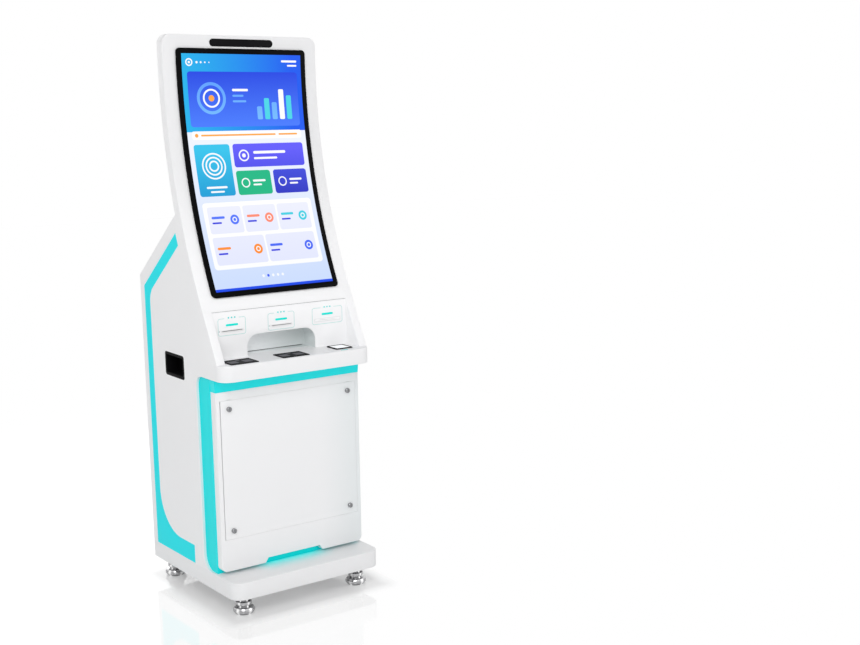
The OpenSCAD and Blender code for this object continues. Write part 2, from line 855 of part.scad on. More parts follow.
// Tray: a folded box with round front corners, open to the cabinet behind it
module tray_shell() {
    well = 8;
    color(white) difference() {
        translate([0, 0, tray_low_z]) linear_extrude(tray_t)
            front_round_plan(body_w, tray_front_y, mid_y, tray_corner_r);
        translate([0, 0, tray_low_z + sheet_t]) linear_extrude(tray_t - 2 * sheet_t)
            front_round_plan(body_w - 2 * sheet_t, tray_front_y + sheet_t, mid_y + cut,
                             tray_corner_r - sheet_t);
        for (x = [pad_left_x, pad_mid_x]) at_pad(x)
            translate([0, 0, -sheet_t]) cube([pad_w - 2 * well, pad_d - 2 * well, 4 * sheet_t],
                                             center = true);
        at_scanner() translate([0, 0, -sheet_t])
            cube([scan_w - 2 * well, scan_w - 2 * well, 4 * sheet_t], center = true);
    }
}

// Reader pad with a raised rim
module reader_pad(x) {
    rim = 3;
    dish = 0.6;
    color(black) at_pad(x) difference() {
        linear_extrude(pad_h) round_rect(pad_w, pad_d, 4);
        translate([0, 0, pad_h - dish]) linear_extrude(dish + cut)
            round_rect(pad_w - 2 * rim, pad_d - 2 * rim, 2);
    }
}

module id_reader_pad() { reader_pad(pad_left_x); }
module nfc_reader_pad() { reader_pad(pad_mid_x); }

// Electronics under the pads and the scanner, each with a neck through the tray top
module reader_modules() {
    well = 8;
    play = 2 * seam;
    color(zinc) {
        for (x = [pad_left_x, pad_mid_x]) at_pad(x) translate([0, 0, -sheet_t - module_h]) {
            linear_extrude(module_h) square([pad_w - 2, pad_d - 2], center = true);
            linear_extrude(module_h + sheet_t)
                square([pad_w - 2 * well - 2 * play, pad_d - 2 * well - 2 * play], center = true);
        }
        at_scanner() translate([0, 0, -sheet_t - module_h]) linear_extrude(module_h)
            square([scan_w - 2, scan_w - 2], center = true);
    }
}

// Frame of the code scanner on the tray
module scanner_frame() {
    color(black) at_scanner() difference() {
        linear_extrude(scan_h) round_rect(scan_w, scan_w, 3);
        translate([0, 0, -cut]) linear_extrude(scan_h + 2 * cut)
            square(scan_w - 2 * scan_rim, center = true);
    }
}

module scanner_glass() {
    lap = 0.5;
    color(white) at_scanner() linear_extrude(scan_h - lap)
        square(scan_w - 2 * scan_rim - seam / 3, center = true);
}

// Cheek beside the recess, with its sloped front in line with the front cover
module cheek() {
    color(white) from_side(recess_w / 2, side_x - recess_w / 2)
        polygon([[recess_y - cheek_foot, tray_z], [mid_y, tray_z], [mid_y, recess_z],
                 [recess_y, recess_z]]);
}

module left_cheek() { mirror([1, 0, 0]) cheek(); }
module right_cheek() { cheek(); }

// A slot outline in the recess panel
module slot_outline(x, w, h, edge) {
    translate([x, slot_mid_z]) square([w + 2 * edge, h + 2 * edge], center = true);
}

// Upright panel behind the tray, with the outlet arch and the slots
module recess_panel() {
    color(white) from_front(recess_y, sheet_t) difference() {
        translate([-recess_w / 2, tray_z]) square([recess_w, recess_h]);
        translate([0, tray_z - cut]) arch(niche_w, niche_h + cut, niche_r);
        for (x = [receipt_left_x, receipt_mid_x]) slot_outline(x, receipt_w, receipt_h, bezel_rim / 2);
        slot_outline(card_x, card_w, card_h, bezel_rim / 2);
        for (x = [receipt_left_x, receipt_mid_x, card_x])
            translate([x, status_z]) round_rect(status_w, status_h, status_h / 2 - 0.1);
    }
}

// Outlet niche: an arched sleeve, its back with the paper slot, and the floor behind the tray
module niche_box() {
    color(white) {
        difference() {
            from_front(recess_y + sheet_t, niche_d - sheet_t) translate([0, tray_z])
                arch(niche_w + 2 * sheet_t, niche_h + sheet_t, niche_r + sheet_t);
            from_front(recess_y, niche_d - sheet_t) translate([0, tray_z - cut])
                arch(niche_w, niche_h + cut, niche_r);
            block([-niche_slot_half, recess_y, tray_z - cut],
                  [niche_slot_half, niche_y + cut, tray_z + niche_slot_h]);
        }
        block([-niche_w / 2 - sheet_t, mid_y, tray_z - sheet_t],
              [niche_w / 2 + sheet_t, niche_y, tray_z]);
    }
}

// Bezel round a slot: a rim in front of the panel and a neck through it
module slot_bezel(x, w, h) {
    play = seam / 6;
    difference() {
        union() {
            from_front(recess_y - bezel_h, bezel_h) slot_outline(x, w, h, bezel_rim);
            from_front(recess_y, sheet_t) slot_outline(x, w, h, bezel_rim / 2 - play);
        }
        from_front(recess_y - bezel_h - cut, bezel_h + sheet_t + 2 * cut) slot_outline(x, w, h, 0);
    }
}

module receipt_bezels() {
    color(white) for (x = [receipt_left_x, receipt_mid_x]) slot_bezel(x, receipt_w, receipt_h);
}

module card_bezel() {
    color(white) slot_bezel(card_x, card_w, card_h);
}

// Coloured light bars over the slots
module status_lights() {
    proud = 0.8;
    play = seam / 3;
    color(teal) for (x = [receipt_left_x, receipt_mid_x, card_x])
        from_front(recess_y - proud, sheet_t + proud) translate([x, status_z])
            round_rect(status_w - play, status_h - play, (status_h - play) / 2 - 0.1);
}

// Curved front cover of the head: a pan with the screen window and the camera slot
module front_fascia() {
    color(white) difference() {
        intersection() {
            curved_slab(head_r, head_back_r, recess_z, body_h, body_w);
            through() head_outline(0);
        }
        intersection() {
            curved_slab(head_r + sheet_t, head_back_r + cut, recess_z - cut, body_h, body_w);
            through() head_outline(sheet_t);
        }
        through() screen_outline(screen_lap, screen_corner_r - screen_lap / 2);
        through() translate([0, camera_z]) round_rect(camera_w, camera_h, camera_h / 2 - 0.1);
    }
}

// Curved cover glass of the touch screen
module screen_glass() {
    glass_r = head_r - screen_proud;
    color(black) intersection() {
        curved_slab(glass_r, glass_r + glass_t, screen_low_z - cut, screen_high_z + cut, screen_w);
        through() screen_outline(0, screen_corner_r);
    }
}

// Display behind the glass: a flange on the front cover and a body through its window
module display_housing() {
    edge = 0.5;
    body_edge = screen_lap + 1;
    color(black) {
        intersection() {
            curved_slab(head_r - screen_proud + glass_t, head_r, screen_low_z, screen_high_z, screen_w);
            through() screen_outline(edge, screen_corner_r - edge);
        }
        intersection() {
            curved_slab(head_r, head_r + display_d, screen_low_z, screen_high_z, screen_w);
            through() screen_outline(body_edge, screen_corner_r - screen_lap / 2);
        }
    }
}

// Two rails that carry the display between the sides of the front cover
module display_rails() {
    back_r = head_r + display_d;
    color(zinc) for (z = [screen_low_z + rail_end, screen_high_z - rail_end - rail_h])
        curved_slab(back_r, back_r + rail_t, z, z + rail_h, body_w - 2 * sheet_t);
}

// Dark window over the cameras
module camera_window() {
    play = seam / 3;
    proud = 1;
    color(black) intersection() {
        curved_slab(head_r - proud, head_r + sheet_t, camera_z - camera_h, body_h, camera_w);
        through() translate([0, camera_z])
            round_rect(camera_w - play, camera_h - play, (camera_h - play) / 2 - 0.1);
    }
}

// Camera board with two lens barrels behind the window
module camera_unit() {
    board_side = 13;
    board_w = camera_w - 2 * board_side;
    lens_r = 6;
    lens_y = curve_y(head_r, camera_z) + sheet_t;
    color(grey) {
        curved_slab(head_r + sheet_t, head_r + camera_d, camera_z - camera_h / 2 + 2,
                    camera_z + camera_h / 2 - 2, board_w);
        for (x = [-1, 1]) translate([x * board_w / 4, lens_y + 4, camera_z]) rotate([-90, 0, 0])
            cylinder(h = camera_d, r = lens_r);
    }
}

// One block of vent slots about a point in the front view
module vent_block(x, z) {
    for (i = [0:vent_count - 1])
        translate([x, z + (i - (vent_count - 1) / 2) * vent_pitch])
            round_rect(vent_w, vent_h, vent_h / 2 - 0.1);
}

// Curved cover on the rear of the head
module head_rear_cover() {
    play = sheet_t + seam;
    color(white) difference() {
        intersection() {
            curved_slab(head_back_r - sheet_t, head_back_r, neck_z, body_h, body_w);
            through() head_outline(play);
        }
        for (x = [-1, 1]) through() vent_block(x * body_w / 5, body_h - head_vent_drop);
    }
}

// Sloped cover from the head down to the rear wall
module shoulder_cover() {
    drop = sheet_t / cos(shoulder_a);
    color(white) from_side(-inner_x, 2 * inner_x)
        polygon([[neck_y, neck_z], [rear_y, rear_top_z], [rear_y, rear_top_z - drop],
                 [neck_y, neck_z - drop]]);
}

// Pivot pin of the rear door, with its root in a rail
module pivot(z) {
    translate([pivot_x, pivot_y, z]) cylinder(h = pivot_l + pin_root, r = pivot_r);
}

// Rail over the rear door, with the upper pivot pin under it
module rear_upper_rail() {
    low_z = rear_top_z - upper_rail_h;
    top_z = rear_top_z - sheet_t / cos(shoulder_a);
    flange_y = door_y - hatch_d;
    color(white) {
        block([-inner_x, rear_y - sheet_t, low_z], [inner_x, rear_y, top_z]);
        block([-inner_x, flange_y, low_z], [inner_x, rear_y, low_z + sheet_t]);
        pivot(low_z - pivot_l);
    }
}

// Rail under the rear door, with the lower pivot pin on it and the opening of the mains inlet
module rear_lower_rail() {
    top_z = deck_z + lower_rail_h;
    flange_y = door_y - hatch_d;
    mid_z = (deck_z + top_z) / 2;
    color(white) {
        difference() {
            block([-inner_x, rear_y - sheet_t, deck_z], [inner_x, rear_y, top_z]);
            translate([inlet_x, rear_y, mid_z])
                cube([inlet_w - 4, 4 * sheet_t, inlet_h - 4], center = true);
        }
        block([-inner_x, flange_y, top_z - sheet_t], [inner_x, rear_y, top_z]);
        pivot(top_z - pin_root);
    }
}

// Rear door: a pan with vents, a bored block at each pivot and a bore for its lock
module rear_door() {
    block_w = pivot_x - door_left_x + pivot_block / 2;
    block_h = pivot_l + 6;
    color(white) difference() {
        union() {
            translate([0, 2 * door_y - hatch_d, 0]) mirror([0, 1, 0])
                pan(door_left_x, door_right_x, door_low_z, door_high_z, door_y - hatch_d, hatch_d);
            for (z = [door_low_z, door_high_z - block_h])
                block([door_left_x, door_y - hatch_d, z],
                      [door_left_x + block_w, door_y - sheet_t / 2, z + block_h]);
        }
        translate([pivot_x, pivot_y, door_low_z - cut])
            cylinder(h = pivot_l + cut, r = pivot_r + run_gap);
        translate([pivot_x, pivot_y, door_high_z - pivot_l])
            cylinder(h = pivot_l + cut, r = pivot_r + run_gap);
        at_rear_lock() translate([0, 0, -sheet_t - cut])
            cylinder(h = sheet_t + 2 * cut, r = lock_barrel_r + run_gap);
        for (x = [-1, 1], z = [door_low_z + door_vent_end, door_high_z - door_vent_end])
            from_front(door_y - sheet_t - cut, sheet_t + 2 * cut) vent_block(x * body_w / 5, z);
    }
}

// Place of the rear door's lock, with the lock's own +Z out of the rear and its own +X downwards
module at_rear_lock() {
    translate([rear_lock_x, door_y, rear_lock_z]) rotate([-90, 0, 0]) rotate([0, 0, 90]) children();
}

module rear_door_lock() { at_rear_lock() lock(); }

// Place of the mains inlet, at the middle of its outer face
module at_inlet() {
    translate([inlet_x, rear_y - sheet_t, deck_z + lower_rail_h / 2]) children();
}

rocker_z = 12;
rocker_pin_r = 1.5;
rocker_pin_y = -4;

// Mains inlet with a socket for a lead below and the well of its switch above
module power_inlet() {
    socket_w = 26;
    socket_h = 18;
    socket_d = 22;
    well_d = 12;
    play = 0.6;
    color(black) at_inlet() difference() {
        block([-inlet_w / 2, -inlet_d, -inlet_h / 2], [inlet_w / 2, 0, inlet_h / 2]);
        block([-socket_w / 2, -socket_d, -rocker_z - socket_h / 2],
              [socket_w / 2, cut, -rocker_z + socket_h / 2]);
        block([-rocker_l / 2 - play, -well_d, rocker_z - rocker_w / 2 - play],
              [rocker_l / 2 + play, cut, rocker_z + rocker_w / 2 + play]);
        translate([0, rocker_pin_y, rocker_z]) cylinder(h = rocker_w + 8, r = rocker_pin_r + run_gap,
                                                        center = true);
    }
}

// Rocker with its pin, tipped to one side
module rocker_switch() {
    color(black) at_inlet() translate([0, rocker_pin_y, rocker_z]) {
        linear_extrude(rocker_w, center = true)
            polygon([[-rocker_l / 2 + 1, -2], [-2, -5], [2, -5], [rocker_l / 2 - 1, -2],
                     [rocker_l / 2 - 0.6, 1.2], [0, 2.4], [-rocker_l / 2 + 0.6, 4]]);
        cylinder(h = rocker_w + 6, r = rocker_pin_r, center = true);
    }
}

// Shelf between the side panels, folded down along both sides
module printer_shelf() {
    low_y = bay_y + shelf_front;
    high_y = door_y - hatch_d - shelf_rear;
    fold = 30;
    color(zinc) {
        block([-inner_x, low_y, shelf_z - sheet_t], [inner_x, high_y, shelf_z]);
        for (x = [-inner_x, inner_x - sheet_t])
            block([x, low_y, shelf_z - fold], [x + sheet_t, high_y, shelf_z]);
    }
}

// Sheet-fed report printer: body with a sloped top, paper drawer and an exit lip to the niche
module report_printer() {
    half = printer_half;
    drawer_h = 52;
    drawer_side = 30;
    groove = 3;
    slope = 60;
    color(grey) {
        difference() {
            from_side(-half, 2 * half)
                polygon([[printer_y, shelf_z], [printer_rear_y, shelf_z],
                         [printer_rear_y, shelf_z + printer_h - slope / 2],
                         [printer_rear_y - slope, shelf_z + printer_h],
                         [printer_y + slope, shelf_z + printer_h],
                         [printer_y, shelf_z + printer_h - slope / 1.5]]);
            for (z = [4, drawer_h])
                block([-half + drawer_side, printer_y - cut, shelf_z + z],
                      [half - drawer_side, printer_y + groove, shelf_z + z + groove]);
        }
        block([-niche_slot_half, niche_y, tray_z - sheet_t], [niche_slot_half, printer_y + cut, tray_z]);
    }
}

// Small receipt printer: head behind the slot, cradle plates and a stub spindle on each
module receipt_printer(x) {
    half = roll_w / 2 + 1;
    plate = 3;
    head_d = receipt_head_d;
    panel_y = recess_y + sheet_t;
    rear = roll_y + roll_r;
    floor_z = slot_mid_z - receipt_h / 2 - bezel_rim - plate;
    stub = 8;
    color(zinc) translate([x, 0, 0]) {
        difference() {
            block([-half - plate, panel_y, floor_z],
                  [half + plate, panel_y + head_d, slot_mid_z + receipt_h / 2 + bezel_rim + 4]);
            block([-half, panel_y - cut, slot_mid_z - receipt_h / 2],
                  [half, panel_y + head_d + cut, slot_mid_z + receipt_h / 2]);
        }
        block([-half - plate, panel_y, floor_z], [half + plate, rear, floor_z + plate]);
        for (s = [-1, 1]) {
            block([min(s * half, s * (half + plate)), panel_y + head_d, floor_z],
                  [max(s * half, s * (half + plate)), rear, roll_z + roll_r]);
            translate([s * (half - stub / 2 + plate / 4), roll_y, roll_z]) rotate([0, 90, 0])
                cylinder(h = stub + plate / 2, r = core_r - run_gap, center = true);
        }
    }
}

module left_receipt_printer() { receipt_printer(receipt_left_x); }
module middle_receipt_printer() { receipt_printer(receipt_mid_x); }

// Paper roll on the stubs
module paper_roll(x) {
    color(paper) translate([x, roll_y, roll_z]) rotate([0, 90, 0]) difference() {
        cylinder(h = roll_w, r = roll_r, center = true);
        cylinder(h = roll_w + 2 * cut, r = core_r, center = true);
    }
}

module left_paper_roll() { paper_roll(receipt_left_x); }
module middle_paper_roll() { paper_roll(receipt_mid_x); }

// Card unit: a case behind the panel, and a mouth with the slit that fills the bezel
module card_unit() {
    depth = 62;
    half_w = card_w / 2 + 8;
    half_h = 17;
    slit_d = 40;
    mouth_x = card_w / 2 - seam / 3;
    mouth_z = card_h / 2 - seam / 3;
    mouth_y = recess_y - bezel_h + card_mouth_d;
    panel_y = recess_y + sheet_t;
    color(white) translate([card_x, 0, slot_mid_z]) difference() {
        union() {
            block([-half_w, panel_y, -half_h], [half_w, panel_y + depth, half_h]);
            block([-mouth_x, mouth_y, -mouth_z], [mouth_x, panel_y + sheet_t, mouth_z]);
        }
        block([-card_slit_w / 2, mouth_y - cut, -card_slit_h / 2],
              [card_slit_w / 2, panel_y + slit_d, card_slit_h / 2]);
    }
}

// A finned box on the deck: a plain body with grooves across its top
module finned_box(x, y, w, d, h) {
    groove = 4;
    pitch = 12;
    edge = 14;
    difference() {
        block([x - w / 2, y - d / 2, deck_z], [x + w / 2, y + d / 2, deck_z + h]);
        for (gx = [x - w / 2 + edge:pitch:x + w / 2 - edge - groove])
            block([gx, y - d / 2 + edge, deck_z + h - groove],
                  [gx + groove, y + d / 2 - edge, deck_z + h + cut]);
    }
}

module computer() { color(grey) finned_box(-body_w / 5, 0, computer_w, computer_d, computer_h); }
module power_supply() { color(zinc) finned_box(body_w / 5, 0, supply_w, supply_d, supply_h); }

base_plinth();
foot_sockets();
left_side_panel();
right_side_panel();
left_stripe();
right_stripe();
left_hand_grip();
right_hand_grip();
left_liner();
right_liner();
top_liner();
bottom_liner();
kick_light();
front_frame();
tray_shell();
left_cheek();
right_cheek();
recess_panel();
niche_box();
receipt_bezels();
card_bezel();
status_lights();
id_reader_pad();
nfc_reader_pad();
reader_modules();
scanner_frame();
scanner_glass();
front_fascia();
screen_glass();
display_housing();
display_rails();
camera_window();
camera_unit();
head_rear_cover();
shoulder_cover();
rear_upper_rail();
rear_lower_rail();
power_inlet();
rocker_switch();
printer_shelf();
report_printer();
left_receipt_printer();
middle_receipt_printer();
left_paper_roll();
middle_paper_roll();
card_unit();
computer();
power_supply();
service_hatch();
upper_left_lock();
upper_right_lock();
lower_left_lock();
lower_right_lock();
rear_door();
rear_door_lock();
front_left_foot();
front_right_foot();
rear_left_foot();
rear_right_foot();
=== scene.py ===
import bpy
import bmesh
import json
import math
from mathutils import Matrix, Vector


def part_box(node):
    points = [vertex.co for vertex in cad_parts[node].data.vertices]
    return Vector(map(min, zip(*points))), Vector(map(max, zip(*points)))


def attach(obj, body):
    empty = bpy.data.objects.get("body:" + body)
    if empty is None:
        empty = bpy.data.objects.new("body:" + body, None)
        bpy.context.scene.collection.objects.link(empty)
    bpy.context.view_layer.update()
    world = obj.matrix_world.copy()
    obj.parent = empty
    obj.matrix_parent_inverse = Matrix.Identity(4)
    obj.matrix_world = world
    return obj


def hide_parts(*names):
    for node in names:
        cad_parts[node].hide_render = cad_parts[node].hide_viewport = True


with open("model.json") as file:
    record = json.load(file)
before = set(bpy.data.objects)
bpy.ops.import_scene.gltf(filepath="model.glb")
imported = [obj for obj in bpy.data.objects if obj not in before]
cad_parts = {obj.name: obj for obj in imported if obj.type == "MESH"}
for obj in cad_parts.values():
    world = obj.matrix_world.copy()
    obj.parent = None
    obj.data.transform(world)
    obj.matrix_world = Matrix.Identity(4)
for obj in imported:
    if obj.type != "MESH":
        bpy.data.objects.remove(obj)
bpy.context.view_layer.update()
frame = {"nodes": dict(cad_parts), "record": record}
nodes = frame["nodes"]
bodyOf = {n: b for b, group in frame["record"]["behaviour"]["bodies"].items() for n in group}
slotOf = {p["node"]: p["material_slot"] for p in frame["record"]["subparts"]}
scene = bpy.context.scene
scene.view_settings.view_transform = "Standard"
bpy.ops.object.select_all(action="DESELECT")
print("frame loaded with", len(nodes), "nodes")

# camera: the kiosk from the front left, from 1.5 m up
cameraSet = {"place": (-1.985, -3.659, 1.504), "tilt": math.pi / 2 - 0.1970, "turn": -0.6894,
             "lens": 57.1, "shift": (-0.1045, 0.0485)}
bpy.ops.object.camera_add(location=cameraSet["place"],
                          rotation=(cameraSet["tilt"], 0, cameraSet["turn"]))
viewer = bpy.context.object
viewer.data.sensor_width = 36
viewer.data.lens = cameraSet["lens"]
viewer.data.shift_x, viewer.data.shift_y = cameraSet["shift"]
scene.camera = viewer
print("camera placed")


class Wire:
    def __init__(self, tree, socket=None):
        self.tree, self.socket = tree, socket

    def add(self, kind, settings=None, sockets=None, out=0):
        node = self.tree.nodes.new(kind)
        for name, value in (settings or {}).items():
            if name == "stops":
                ramp = node.color_ramp
                while len(ramp.elements) < len(value):
                    ramp.elements.new(0.5)
                for element, (place, colour) in zip(ramp.elements, value):
                    element.position, element.color = place, colour
            else:
                setattr(node, name, value)
        for name, value in (sockets or {}).items():
            if isinstance(value, Wire):
                self.tree.links.new(value.socket, node.inputs[name])
            else:
                node.inputs[name].default_value = value
        return Wire(self.tree, node.outputs[out]) if node.outputs else None

    def maths(self, operation, *values):
        return self.add("ShaderNodeMath", {"operation": operation}, dict(enumerate(values)))

    def __add__(self, other):
        return self.maths("ADD", self, other)

    def __radd__(self, other):
        return self.maths("ADD", other, self)

    def __sub__(self, other):
        return self.maths("SUBTRACT", self, other)

    def __rsub__(self, other):
        return self.maths("SUBTRACT", other, self)

    def __mul__(self, other):
        return self.maths("MULTIPLY", self, other)

    def __rmul__(self, other):
        return self.maths("MULTIPLY", other, self)

    def __truediv__(self, other):
        return self.maths("DIVIDE", self, other)

    def __gt__(self, other):
        return self.maths("GREATER_THAN", self, other)

    def __lt__(self, other):
        return self.maths("LESS_THAN", self, other)

    def __abs__(self):
        return self.maths("ABSOLUTE", self)


def tone(red, green, blue):
    # screen values from 0 to 255 as a linear colour
    def linear(v):
        v = v / 255
        return v / 12.92 if v <= 0.04045 else ((v + 0.055) / 1.055) ** 2.4
    return (linear(red), linear(green), linear(blue), 1)


def startFinish(name):
    material = bpy.data.materials.new(name)
    material.use_nodes = True
    material.node_tree.nodes.clear()
    return material, Wire(material.node_tree)


def endFinish(wire, values):
    shader = wire.add("ShaderNodeBsdfPrincipled", {}, values)
    wire.add("ShaderNodeOutputMaterial", {}, {"Surface": shader})


def spot(wire):
    return wire.add("ShaderNodeTexCoord", {}, {}, "Object")


def along(wire, axis):
    return wire.add("ShaderNodeSeparateXYZ", {}, {0: spot(wire)}, axis)


def grain(wire, scale, detail=2.0, stretch=(1, 1, 1)):
    place = spot(wire)
    if stretch != (1, 1, 1):
        place = wire.add("ShaderNodeMapping", {}, {"Vector": place, "Scale": stretch})
    return wire.add("ShaderNodeTexNoise", {}, {"Vector": place, "Scale": scale, "Detail": detail})


def blend(wire, factor, first, second):
    return wire.add("ShaderNodeMix", {"data_type": "RGBA"}, {0: factor, 6: first, 7: second}, 2)


def bumps(wire, height, strength, distance):
    return wire.add("ShaderNodeBump", {}, {"Height": height, "Strength": strength,
                                           "Distance": distance})


def shade(colour, share):
    return (colour[0] * share, colour[1] * share, colour[2] * share, 1)


def ramped(wire, value, start, over):
    rise = wire.maths("MINIMUM", wire.maths("MAXIMUM", (value - start) / over, 0.0), 1.0)
    return rise * rise * (3.0 - 2.0 * rise)


# powder coat and moulded plastic: clouds, grain and specks, and how far they change tone and roughness
coatSet = {"cloud": 7.0, "cloudDetail": 3.0, "cloudRough": 0.12, "peelRough": 0.06, "bump": 0.35,
           "speckScale": 3.1, "speckShare": 0.3, "speckBump": 0.25,
           "rough": 0.36, "grain": 900.0, "depth": 0.00006, "driftCloud": 0.15}


def coatGrain(wire, grainScale):
    return grain(wire, coatSet["cloud"], coatSet["cloudDetail"]), grain(wire, grainScale)


def coatRough(rough, cloud, peel):
    return rough + (cloud - 0.5) * coatSet["cloudRough"] + (peel - 0.5) * coatSet["peelRough"]


# sheet metal and plastics: colour, how far it varies, roughness, grain size and depth
def coated(name, colour, change, rough, grainScale, depth, values=None):
    material, wire = startFinish(name)
    cloud, peel = coatGrain(wire, grainScale)
    speck = grain(wire, grainScale * coatSet["speckScale"], 1.0)
    share = cloud * (1 - coatSet["speckShare"]) + speck * coatSet["speckShare"]
    tint = blend(wire, share, shade(colour, 1 - change), shade(colour, 1 + change))
    height = peel + speck * coatSet["speckBump"]
    endFinish(wire, {"Base Color": tint, "Roughness": coatRough(rough, cloud, peel),
                     "Normal": bumps(wire, height, coatSet["bump"], depth), **(values or {})})
    return material


# white paint with painted light and shade: its tone runs from one end of a piece to the other
# faces further out than side keep the plain tone, with no painted light or shade
def whiteWithPaintedShade(name, axis, start, end, first, last, side=9.0):
    material, wire = startFinish(name)
    cloud, peel = coatGrain(wire, coatSet["grain"])
    # painted shade: how far along the axis the lit tone gives way to the shaded one
    paintedShade = ramped(wire, along(wire, axis), start, end - start)
    tint = blend(wire, paintedShade + (cloud - 0.5) * coatSet["driftCloud"], first, last)
    tint = blend(wire, abs(along(wire, "X")) > side, tint, finishSet["white"])
    endFinish(wire, {"Base Color": tint, "Roughness": coatRough(coatSet["rough"], cloud, peel),
                     "Normal": bumps(wire, peel, coatSet["bump"], coatSet["depth"])})
    return material


# brushed or drawn metal: long fine lines along one axis
def drawn(name, colour, rough, stretch):
    material, wire = startFinish(name)
    lines = grain(wire, 55.0, 4.0, stretch)
    cloud = grain(wire, 11.0, 2.0)
    tint = blend(wire, lines * 0.6 + cloud * 0.4, shade(colour, 0.9), shade(colour, 1.08))
    endFinish(wire, {"Base Color": tint, "Metallic": 1.0,
                     "Roughness": rough + (lines - 0.5) * 0.16 + (cloud - 0.5) * 0.06,
                     "Normal": bumps(wire, lines, 0.2, 0.0002)})
    return material


# lit colour: a face that gives off most of its colour and reflects the rest
def lit(name, colour, reflected, strength):
    material, wire = startFinish(name)
    cloud = grain(wire, 400.0, 2.0)
    glow = blend(wire, cloud, shade(colour, 0.995), shade(colour, 1.005))
    endFinish(wire, {"Base Color": shade(colour, reflected), "Roughness": 0.35 + cloud * 0.05,
                     "Emission Color": glow, "Emission Strength": strength, **dull})
    return material


finishSet = {
    "white": tone(236, 236, 237), "teal": tone(14, 226, 229), "black": tone(20, 20, 22),
    "pad": tone(22, 23, 25), "padMark": tone(108, 108, 112), "lock": tone(150, 151, 153),
    "zinc": tone(190, 193, 196), "device": tone(112, 114, 118), "caseGrey": tone(150, 152, 156),
    "paper": tone(244, 242, 235), "dullGloss": 0.15, "padGloss": 0.06,
}
dull = {"Specular IOR Level": finishSet["dullGloss"]}
whitePaint = coated("powder_white", finishSet["white"], 0.012, 0.36, 900.0, 0.00006)
whitePlastic = coated("moulded_white", finishSet["white"], 0.010, 0.42, 1500.0, 0.00005)
tealPaint = coated("powder_teal", finishSet["teal"], 0.03, 0.40, 900.0, 0.00006, dull)
tealFilm = coated("film_teal", tone(8, 227, 236), 0.02, 0.36, 2200.0, 0.00002,
                  {"Specular IOR Level": 0.08})
blackPlastic = coated("moulded_black", tone(11, 11, 12), 0.10, 0.55, 1400.0, 0.00012,
                      {"Specular IOR Level": 0.05})
scannerBlack = coated("scanner_black", tone(16, 16, 18), 0.08, 0.60, 1500.0, 0.0001,
                      {"Specular IOR Level": 0.05})
inletBlack = coated("inlet_black", finishSet["black"], 0.10, 0.40, 1600.0, 0.00008)
deviceGrey = coated("device_grey", finishSet["device"], 0.06, 0.45, 1200.0, 0.0001)
rollPaper = coated("thermal_paper", finishSet["paper"], 0.02, 0.7, 2400.0, 0.00004)
lockSteel = drawn("lock_steel", finishSet["lock"], 0.30, (1, 1, 14))
zincSheet = drawn("zinc_sheet", finishSet["zinc"], 0.36, (1, 16, 1))
deviceCase = drawn("device_case", finishSet["caseGrey"], 0.40, (1, 14, 1))
tealLight = lit("light_teal", tone(0, 226, 214), 0.3, 0.72)
kickGlow = lit("kick_teal", tone(0, 206, 206), 0.2, 0.8)
# painted glow: the teal band under the tray gives off light, so it stays bright in the tray's shadow
tealPaintedGlow = lit("teal_under_tray_painted_glow", tone(34, 218, 222), 0.6, 0.45)


# turned feet: painted reflections and shade as grey bands from the floor to the stem, by height in metres,
# and bright painted streaks round them
footSet = {"paintedBands": [(0.000, 0.16), (0.002, 0.22), (0.0035, 0.40), (0.0135, 0.42), (0.0148, 0.22),
                     (0.0165, 0.52), (0.0205, 0.56), (0.022, 0.26), (0.0245, 0.22), (0.027, 0.40),
                     (0.036, 0.44), (0.039, 0.24), (0.046, 0.36)],
           "top": 0.08, "streaks": 5.0, "phase": 2.45, "streakFrom": 0.45, "streakGain": 1.7,
           "streakGrey": 0.96, "turning": 5200.0, "blueShare": 1.02}


def chromePaintedReflections(name, midX, midY):
    # polished steel with painted reflections and shade in bands and streaks, and faint turning lines round
    # one foot
    material, wire = startFinish(name)
    height = along(wire, "Z")
    rings = wire.maths("SINE", height * footSet["turning"])
    cloud = grain(wire, 40.0, 2.0)
    stops = [(z / footSet["top"], (v, v, v * footSet["blueShare"], 1)) for z, v in footSet["paintedBands"]]
    paintedBands = wire.add("ShaderNodeValToRGB", {"stops": stops}, {0: height / footSet["top"]})
    turn = wire.maths("ARCTAN2", along(wire, "Y") - midY, along(wire, "X") - midX)
    # painted reflections: bright streaks at set turns round the foot
    paintedStreak = wire.maths("SINE", turn * footSet["streaks"] + footSet["phase"])
    paintedStreak = wire.maths("MAXIMUM", paintedStreak - footSet["streakFrom"], 0.0) * footSet["streakGain"]
    grey = footSet["streakGrey"]
    tint = blend(wire, paintedStreak + (cloud - 0.5) * 0.1, paintedBands, (grey, grey, grey, 1))
    endFinish(wire, {"Base Color": tint, "Metallic": 1.0, "Roughness": 0.10 + cloud * 0.06,
                     "Normal": bumps(wire, rings, 0.04, 0.00005)})
    return material


def darkGlass(name, colour):
    # black cover glass with a trace of smudges
    material, wire = startFinish(name)
    smudge = grain(wire, 16.0, 4.0)
    fine = grain(wire, 140.0, 2.0)
    tint = blend(wire, smudge, shade(colour, 0.85), shade(colour, 1.15))
    endFinish(wire, {"Base Color": tint, "Roughness": 0.08 + smudge * 0.06 + fine * 0.02,
                     "Normal": bumps(wire, smudge, 0.02, 0.0005), "Specular IOR Level": 0.04})
    return material


